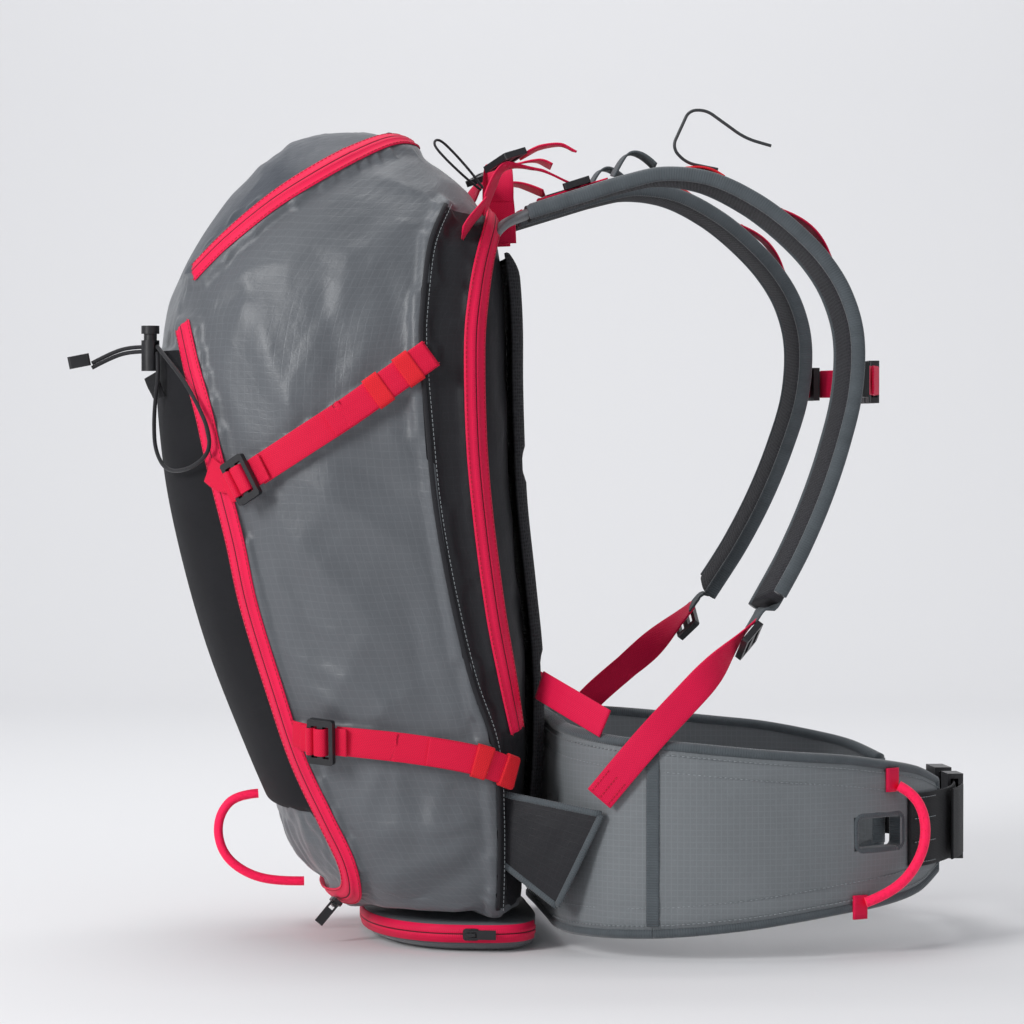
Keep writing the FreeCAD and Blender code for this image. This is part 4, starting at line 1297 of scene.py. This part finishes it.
def make_lower_webbing():
    """Webbing from the foot of each strap to the belt, which turns from facing out to facing aside."""
    rows = [(191, -132, 225), (157, -150, 190), (120, -168, 155), (101, -165.5, 133), (82, -155, 108)]
    points = smooth_line(rows, 72)
    frames = []
    for i, (point, along) in enumerate(zip(points, directions(points))):
        turned = min(i / 30.0, 1.0)
        facing = Vector((0.84, 0, -0.5)) * (1 - turned) + Vector((-0.25, -0.95, 0)) * turned
        frames.append((point, along, (facing - along * facing.dot(along)).normalized()))
    stabiliser = line_frames([tuple(side_point(41, 180, 8)), (62, -121, 172), (87, -147, 157)],
                             Vector((-0.5, -0.87, 0)), 30)
    for side in (0, 1):
        sweep("lower_strap_%d" % side, flipped(frames, side), NARROW_WEBBING, "pink_webbing",
              node="lower_webbing")
        sweep("stabiliser_%d" % side, flipped(stabiliser, side), NARROW_WEBBING, "pink_webbing")
        ends = [flipped(moved_frames(frames[-9:-1], w, 1.1), side) for w in (-7, 0, 7)]
        stitches("lower_strap_stitch_%d" % side, ends, 2.2, 1.6, 0.5, RED_THREAD)


TAB = [(20, 108), (84, 97), (56, 34), (20, 62)]


def make_gusset_tabs():
    """Fabric tab of two layers from the side of the bag to the belt, with a bound edge."""
    start = Vector((31, -121, 0))
    run = Vector((53, -31, 0)).normalized()
    out = Vector((run.y, -run.x, 0))
    corners = [start + run * ((x - start.x) / run.x) + Vector((0, 0, z)) for x, z in TAB]
    count = 14
    layer = (count + 1) ** 2
    faces = grid_faces(count, count) + grid_faces(count, count, layer)
    for side in (0, 1):
        points, uvs = [], []
        for lift in (1.4, -1.6):
            for i in range(count + 1):
                for k in range(count + 1):
                    u, v = i / count, k / count
                    near, far = corners[0].lerp(corners[1], u), corners[3].lerp(corners[2], u)
                    point = near.lerp(far, v)
                    swell = math.sin(math.pi * u) * math.sin(math.pi * v)
                    wave = 1.6 * noise.noise(Vector((u * 5, v * 2, 4)))
                    point = point + out * (lift * (0.4 + swell) + wave * swell)
                    points.append(Vector((point.x, -point.y, point.z)) if side else point)
                    uvs.append((70 * u, 60 * v))
        tab = make_piece("gusset_tab_%d" % side, points, faces, "dark_fabric", "pack", uvs)
        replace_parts(tab, "gusset_tabs")
        for number, (a, b) in enumerate(((0, 1), (1, 2), (2, 3))):
            edge = line_frames([tuple(corners[a]), tuple(corners[b])], out, 12)
            sweep("tab_edge_%d_%d" % (side, number), flipped(edge, side), tube_profile(4.6, 3.4), BINDING)


def make_roots():
    """Short runs that join the straps and loops to the bag."""
    for side in (0, 1):
        yoke = width_frames([(17, -58, 482), (25, -59, 492), (34, -60, 498), (50, -62, 504)], ACROSS, 24)
        sweep("strap_root_%d" % side, flipped(yoke, side), pad_section(60, 7, 24), "belt_fabric")
        down = [tuple(strap_outside(12.6, 0.9)), tuple(strap_outside(13.9, 1.0)), (196, -129.6, 232),
                (188, -134, 222)]
        down = width_frames(down, ACROSS, 30)
        sweep("strap_tongue_%d" % side, flipped(down, side), flat_profile(21, -0.9, 0.9), "grey_webbing")
        tacks = [flipped(moved_frames(down[1:10], w, 1.1), side) for w in (-7, 0, 7)]
        stitches("strap_tongue_stitch_%d" % side, tacks, 2.4, 1.7, 0.5, THREAD)
        foot = [tuple(side_point(*spot)) for spot in ((-6, 484, 1.5), (-1, 492, 3.5), (5, 500, 8.8))]
        foot = width_frames(foot, Vector((0.3, 1, 0)), 20)
        sweep("lifter_foot_%d" % side, flipped(foot, side), NARROW_WEBBING, "pink_webbing")
        haul = [(30, -20, 516), (31, -20, 506), (31.5, -20, 495), (32, -20, 484)]
        haul = width_frames(haul, Vector((1, 0, 0)), 20)
        sweep("haul_foot_%d" % side, flipped(haul, side), flat_profile(18, -0.9, 0.9), "pink_webbing")


# ---------------------------------------------------------------- loops and cords

def cord_curve(name, points, diameter, cloth, body):
    """Round cord through control points in millimetres."""
    data = bpy.data.curves.new(name, "CURVE")
    data.dimensions = "3D"
    line = data.splines.new("NURBS")
    line.points.add(len(points) - 1)
    for place, point in zip(line.points, points):
        place.co = (*(Vector(point) * MM), 1)
    line.order_u = 3
    line.use_endpoint_u = True
    line.resolution_u = 10
    data.bevel_depth = 0.5 * diameter * MM
    data.bevel_resolution = 5
    data.use_fill_caps = True
    data.materials.append(CLOTH[cloth] if isinstance(cloth, str) else cloth)
    cord = bpy.data.objects.new(name, data)
    bpy.context.scene.collection.objects.link(cord)
    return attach(cord, body)


LOCK_CENTRE = Vector((-214, -42, 409))
HOLE_WAY = Vector((0.66, -0.751, 0))
CORD_END = Vector((-262, -24, 396.5))
BUNGEE_SIZE = 2.8


def declare(cord, node=None):
    if node:
        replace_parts(cord, node)


def make_bungee():
    down = [(-196, 402), (-186, 388), (-177, 371), (-170, 354), (-169, 338)]
    back = [(-182, 327), (-196, 326), (-203, 340), (-204, 358), (-203, 376), (-201, 393)]
    route = [LOCK_CENTRE + HOLE_WAY * 7.2 + Vector((0, 0, 1.6))]
    route += [side_point(x, z, 8.0) for x, z in down + back]
    route.append(LOCK_CENTRE + HOLE_WAY * 7.2 + Vector((0, 0, -2.4)))
    loop = cord_curve("bungee", route, BUNGEE_SIZE, "black_cord", "pack")
    declare(loop, "bungee_loop")
    for number, height in enumerate((1.6, -1.6)):
        up = Vector((0, 0, height))
        route = [LOCK_CENTRE - HOLE_WAY * 6.9 + up, Vector((-229, -30, 409)) + up,
                 Vector((-242, -26, 404.5)) + up, CORD_END + Vector((8, 0, 1.6)) + up]
        tail = cord_curve("bungee_tail_%d" % number, route, BUNGEE_SIZE, "black_cord", "pack")
        declare(tail, "bungee_tails")


def make_top_loop():
    foot = Vector((15.5, -34, 521))
    way, aside = Vector((-0.7, 0, 0.714)), Vector((0.42, 0.8, 0.42))
    half = [(2.0, 0), (4.8, 10), (6.3, 20.5), (7.1, 31.5), (6.5, 42.7), (2.7, 46.5)]
    half += [(-a, w) for a, w in reversed(half)]
    route = [foot + way * w + aside * a for a, w in half]
    loop = cord_curve("top_loop", route, 1.8, "black_cord", "pack")
    declare(loop, "top_cord_loop")


# Axe loop as (x, z); gear loop as (belt row past the wing's start, z, distance outwards)
AXE_LOOP = [(-139, 99), (-154, 98), (-165, 87), (-168, 71), (-162, 54), (-146, 42), (-126, 37), (-107, 37)]
GEAR_LOOP = [(5.2, 113, 4.6), (5.35, 108, 13), (5.45, 92, 20), (5.4, 72, 21), (5.1, 53, 18), (4.7, 41, 11),
             (4.4, 36.5, 4.6)]


def make_tube_loops():
    """Loops of stiff tubular webbing, sewn down at both ends."""
    route = [Vector((x, 0, z)) for x, z in AXE_LOOP]
    loop = cord_curve("axe_ring", route, 6.5, TUBE_WEBBING, "axe_loop")
    declare(loop, "axe_loop")
    for side, word in SIDES:
        route = []
        for row, z, out in GEAR_LOOP:
            point = wing_place(row, out, side)
            route.append(Vector((point.x, point.y, z)))
        loop = cord_curve("gear_ring_" + word, route, 7.0, TUBE_WEBBING, "wing_" + word)
        declare(loop, "gear_loop_" + word)
        for number, (row, z) in enumerate(((5.14, 117), (4.34, 33))):
            point, along, out, low, high = belt_frame(row + WING_START, side)
            base = point + out * (0.5 * BELT_THICK) + Vector((0, 0, z))
            rise = Vector((0, 0, 1))
            frames = [(base + rise * h, rise, out) for h in (-8, -4, 0, 4, 8)]
            sweep("gear_tack_%s_%d" % (word, number), frames, flat_profile(12, -0.4, 2.4), "pink_webbing",
                  "wing_" + word)


def make_haul_loop():
    rows = [(30, -20, 513), (30, -20, 524), (30, -13, 536), (30, 0, 540), (30, 13, 536), (30, 20, 524),
            (30, 20, 513)]
    frames = width_frames(rows, Vector((1, 0, 0)), 70)
    sweep("haul_handle", frames, flat_profile(18, -0.9, 0.9), "pink_webbing", "haul_loop", "haul_loop")
    grip = [moved_frames(frames[8:-8], w, 1.2) for w in (-6.5, 6.5)]
    stitches("haul_stitch", grip, 2.8, 1.9, 0.5, RED_THREAD, "haul_loop")


def make_lock_tab():
    rows = [tuple(side_point(-204, 376, 4.0)), (-211, -43.5, 383), (-214, -42.5, 391)]
    frames = line_frames(rows, Vector((-0.8, -0.6, 0)), 20)
    sweep("lock_tab", frames, flat_profile(14, -0.7, 0.7), "black_webbing")


STERNUM_HEIGHT = 388.0
STERNUM_LINE = [(277, -84), (285.5, -60), (293, -34), (296, -13.5)]
STERNUM_OTHER = [(296, 16), (293, 40), (285.5, 62), (277, 84)]


def make_chest_strap():
    z = STERNUM_HEIGHT
    main = level_frames([(x, y, z) for x, y in STERNUM_LINE], 50)
    tail = level_frames([(x + 4.2, y, z) for x, y in STERNUM_LINE[:2]] + [(291, -48, z)], 24)
    other = level_frames([(x, y, z) for x, y in STERNUM_OTHER], 50)
    runs = (("chest_strap_right", main), ("chest_strap_end", tail), ("chest_strap_left", other))
    for name, frames in runs:
        sweep(name, frames, NARROW_WEBBING, "pink_webbing", "chest_strap", "sternum_webbing")
    around = [(272, -92, z), (269.5, -95, z), (271, -98.5, z), (275, -97, z), (277.5, -90, z),
              (278.5, -82, z)]
    for side in (0, 1):
        sweep("chest_strap_turn_%d" % side, flipped(level_frames(around, 24), side),
              flat_profile(19, -0.8, 0.8), "pink_webbing", "chest_strap")


# ---------------------------------------------------------------- moulded and metal parts

# Bevel on the edges of each CAD part, in millimetres
HARD_PARTS = {
    "buckle_plastic": {
        "ladder_locks": 0.6, "webbing_locks": 0.6, "sternum_sliders": 0.7, "sternum_male": 0.6,
        "sternum_female": 0.8, "hip_buckle_male": 0.8, "hip_buckle_female": 1.0, "cord_end": 0.8,
        "cord_lock_body": 0.5, "cord_lock_button": 0.6, "front_pull": 0.35, "lid_pull": 0.35,
        "rear_pull": 0.35, "base_pull": 0.35,
    },
    "slider_metal": {"front_slider": 0.4, "lid_slider": 0.4, "rear_slider": 0.4, "base_slider": 0.4},
    "spring_steel": {"cord_lock_spring": 0.1},
    "hook_wire": {"wire_hook": 0.0},
    "sheet_plastic": {"frame_sheet": 0.2},
    "aluminium_bar": {"frame_stay": 0.3},
}


def finish_hard_parts():
    for material, parts in HARD_PARTS.items():
        for node, bevel in parts.items():
            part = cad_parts[node]
            part.data.materials.clear()
            part.data.materials.append(CLOTH[material])
            if bevel:
                round_edges(part, bevel)


def round_edges(part, bevel):
    rounding = part.modifiers.new("rounded", "BEVEL")
    rounding.width = bevel * MM
    rounding.segments = 3
    rounding.limit_method = "ANGLE"
    rounding.angle_limit = math.radians(40)
    rounding.harden_normals = False
    part.modifiers.new("even", "WEIGHTED_NORMAL")


# ---------------------------------------------------------------- floor and light

def hide_far_side(paper):
    """A view taken from behind the backdrop looks through it."""
    mix = paper.node("ShaderNodeMixShader")
    paper.link(paper.node("ShaderNodeNewGeometry").outputs["Backfacing"], mix.inputs[0])
    paper.link(paper.shader.outputs[0], mix.inputs[1])
    paper.link(paper.node("ShaderNodeBsdfTransparent").outputs[0], mix.inputs[2])
    paper.link(mix.outputs[0], paper.tree.nodes["Material Output"].inputs["Surface"])


def make_stage():
    """Pale curved backdrop that is also the floor."""
    near, far, bend, top, half_width = 6.0, -2.2, 0.9, 5.0, 6.0
    profile = [(near, 0.0), (far, 0.0)]
    for degrees in range(6, 91, 6):
        angle = math.radians(degrees)
        profile.append((far - bend * math.sin(angle), bend - bend * math.cos(angle)))
    profile.append((far - bend, top))
    back = Vector((math.sin(AZIMUTH), -math.cos(AZIMUTH), 0))
    right = Vector((math.cos(AZIMUTH), math.sin(AZIMUTH), 0))
    points = []
    for forward, height in profile:
        for side in (-half_width, half_width):
            points.append(back * forward + right * side + Vector((0, 0, height)))
    mesh = bpy.data.meshes.new("backdrop")
    faces = [(2 * i, 2 * i + 1, 2 * i + 3, 2 * i + 2) for i in range(len(profile) - 1)]
    mesh.from_pydata([tuple(p) for p in points], [], faces)
    mesh.polygons.foreach_set("use_smooth", [True] * len(faces))
    material, paper = start_material("backdrop_paper", (0.80, 0.80, 0.81), 0.9, 0, 0.1)
    hide_far_side(paper)
    mesh.materials.append(material)
    floor = bpy.data.objects.new("backdrop", mesh)
    bpy.context.scene.collection.objects.link(floor)


def make_lamp(name, place, target, size, power):
    data = bpy.data.lights.new(name, "AREA")
    data.shape = "RECTANGLE"
    data.size, data.size_y = size
    data.energy = power
    lamp = bpy.data.objects.new(name, data)
    lamp.location = place
    lamp.rotation_euler = (Vector(target) - Vector(place)).to_track_quat("-Z", "Y").to_euler()
    bpy.context.scene.collection.objects.link(lamp)


def make_light():
    world = bpy.data.worlds.new("room")
    bpy.context.scene.world = world
    world.use_nodes = True
    sky = world.node_tree.nodes["Background"]
    sky.inputs["Color"].default_value = (0.93, 0.95, 1.0, 1)
    sky.inputs["Strength"].default_value = 0.42
    make_lamp("key", (-1.9, -1.5, 1.3), (0, 0, 0.3), (0.7, 1.1), 40)
    make_lamp("fill", (1.9, -2.2, 1.0), (0, 0, 0.3), (1.6, 1.6), 5)
    make_lamp("top", (-0.3, 0.2, 2.4), (0, 0, 0.3), (1.2, 1.2), 16)
    make_lamp("wall", (0.3, 1.0, 2.6), (0.3, 3.0, 0.8), (2.6, 1.0), 30)


# ---------------------------------------------------------------- everything

bpy.context.scene.view_settings.view_transform = "Standard"
make_camera()
make_bag_skin()
make_zips()
make_base()
make_seams()
make_compression_straps()
make_back_panel()
make_belt()
make_hip_webbing()
make_shoulder_straps()
make_load_lifters()
make_lower_webbing()
make_gusset_tabs()
make_roots()
make_bungee()
make_top_loop()
make_tube_loops()
make_haul_loop()
make_lock_tab()
make_chest_strap()
finish_hard_parts()
make_stage()
make_light()
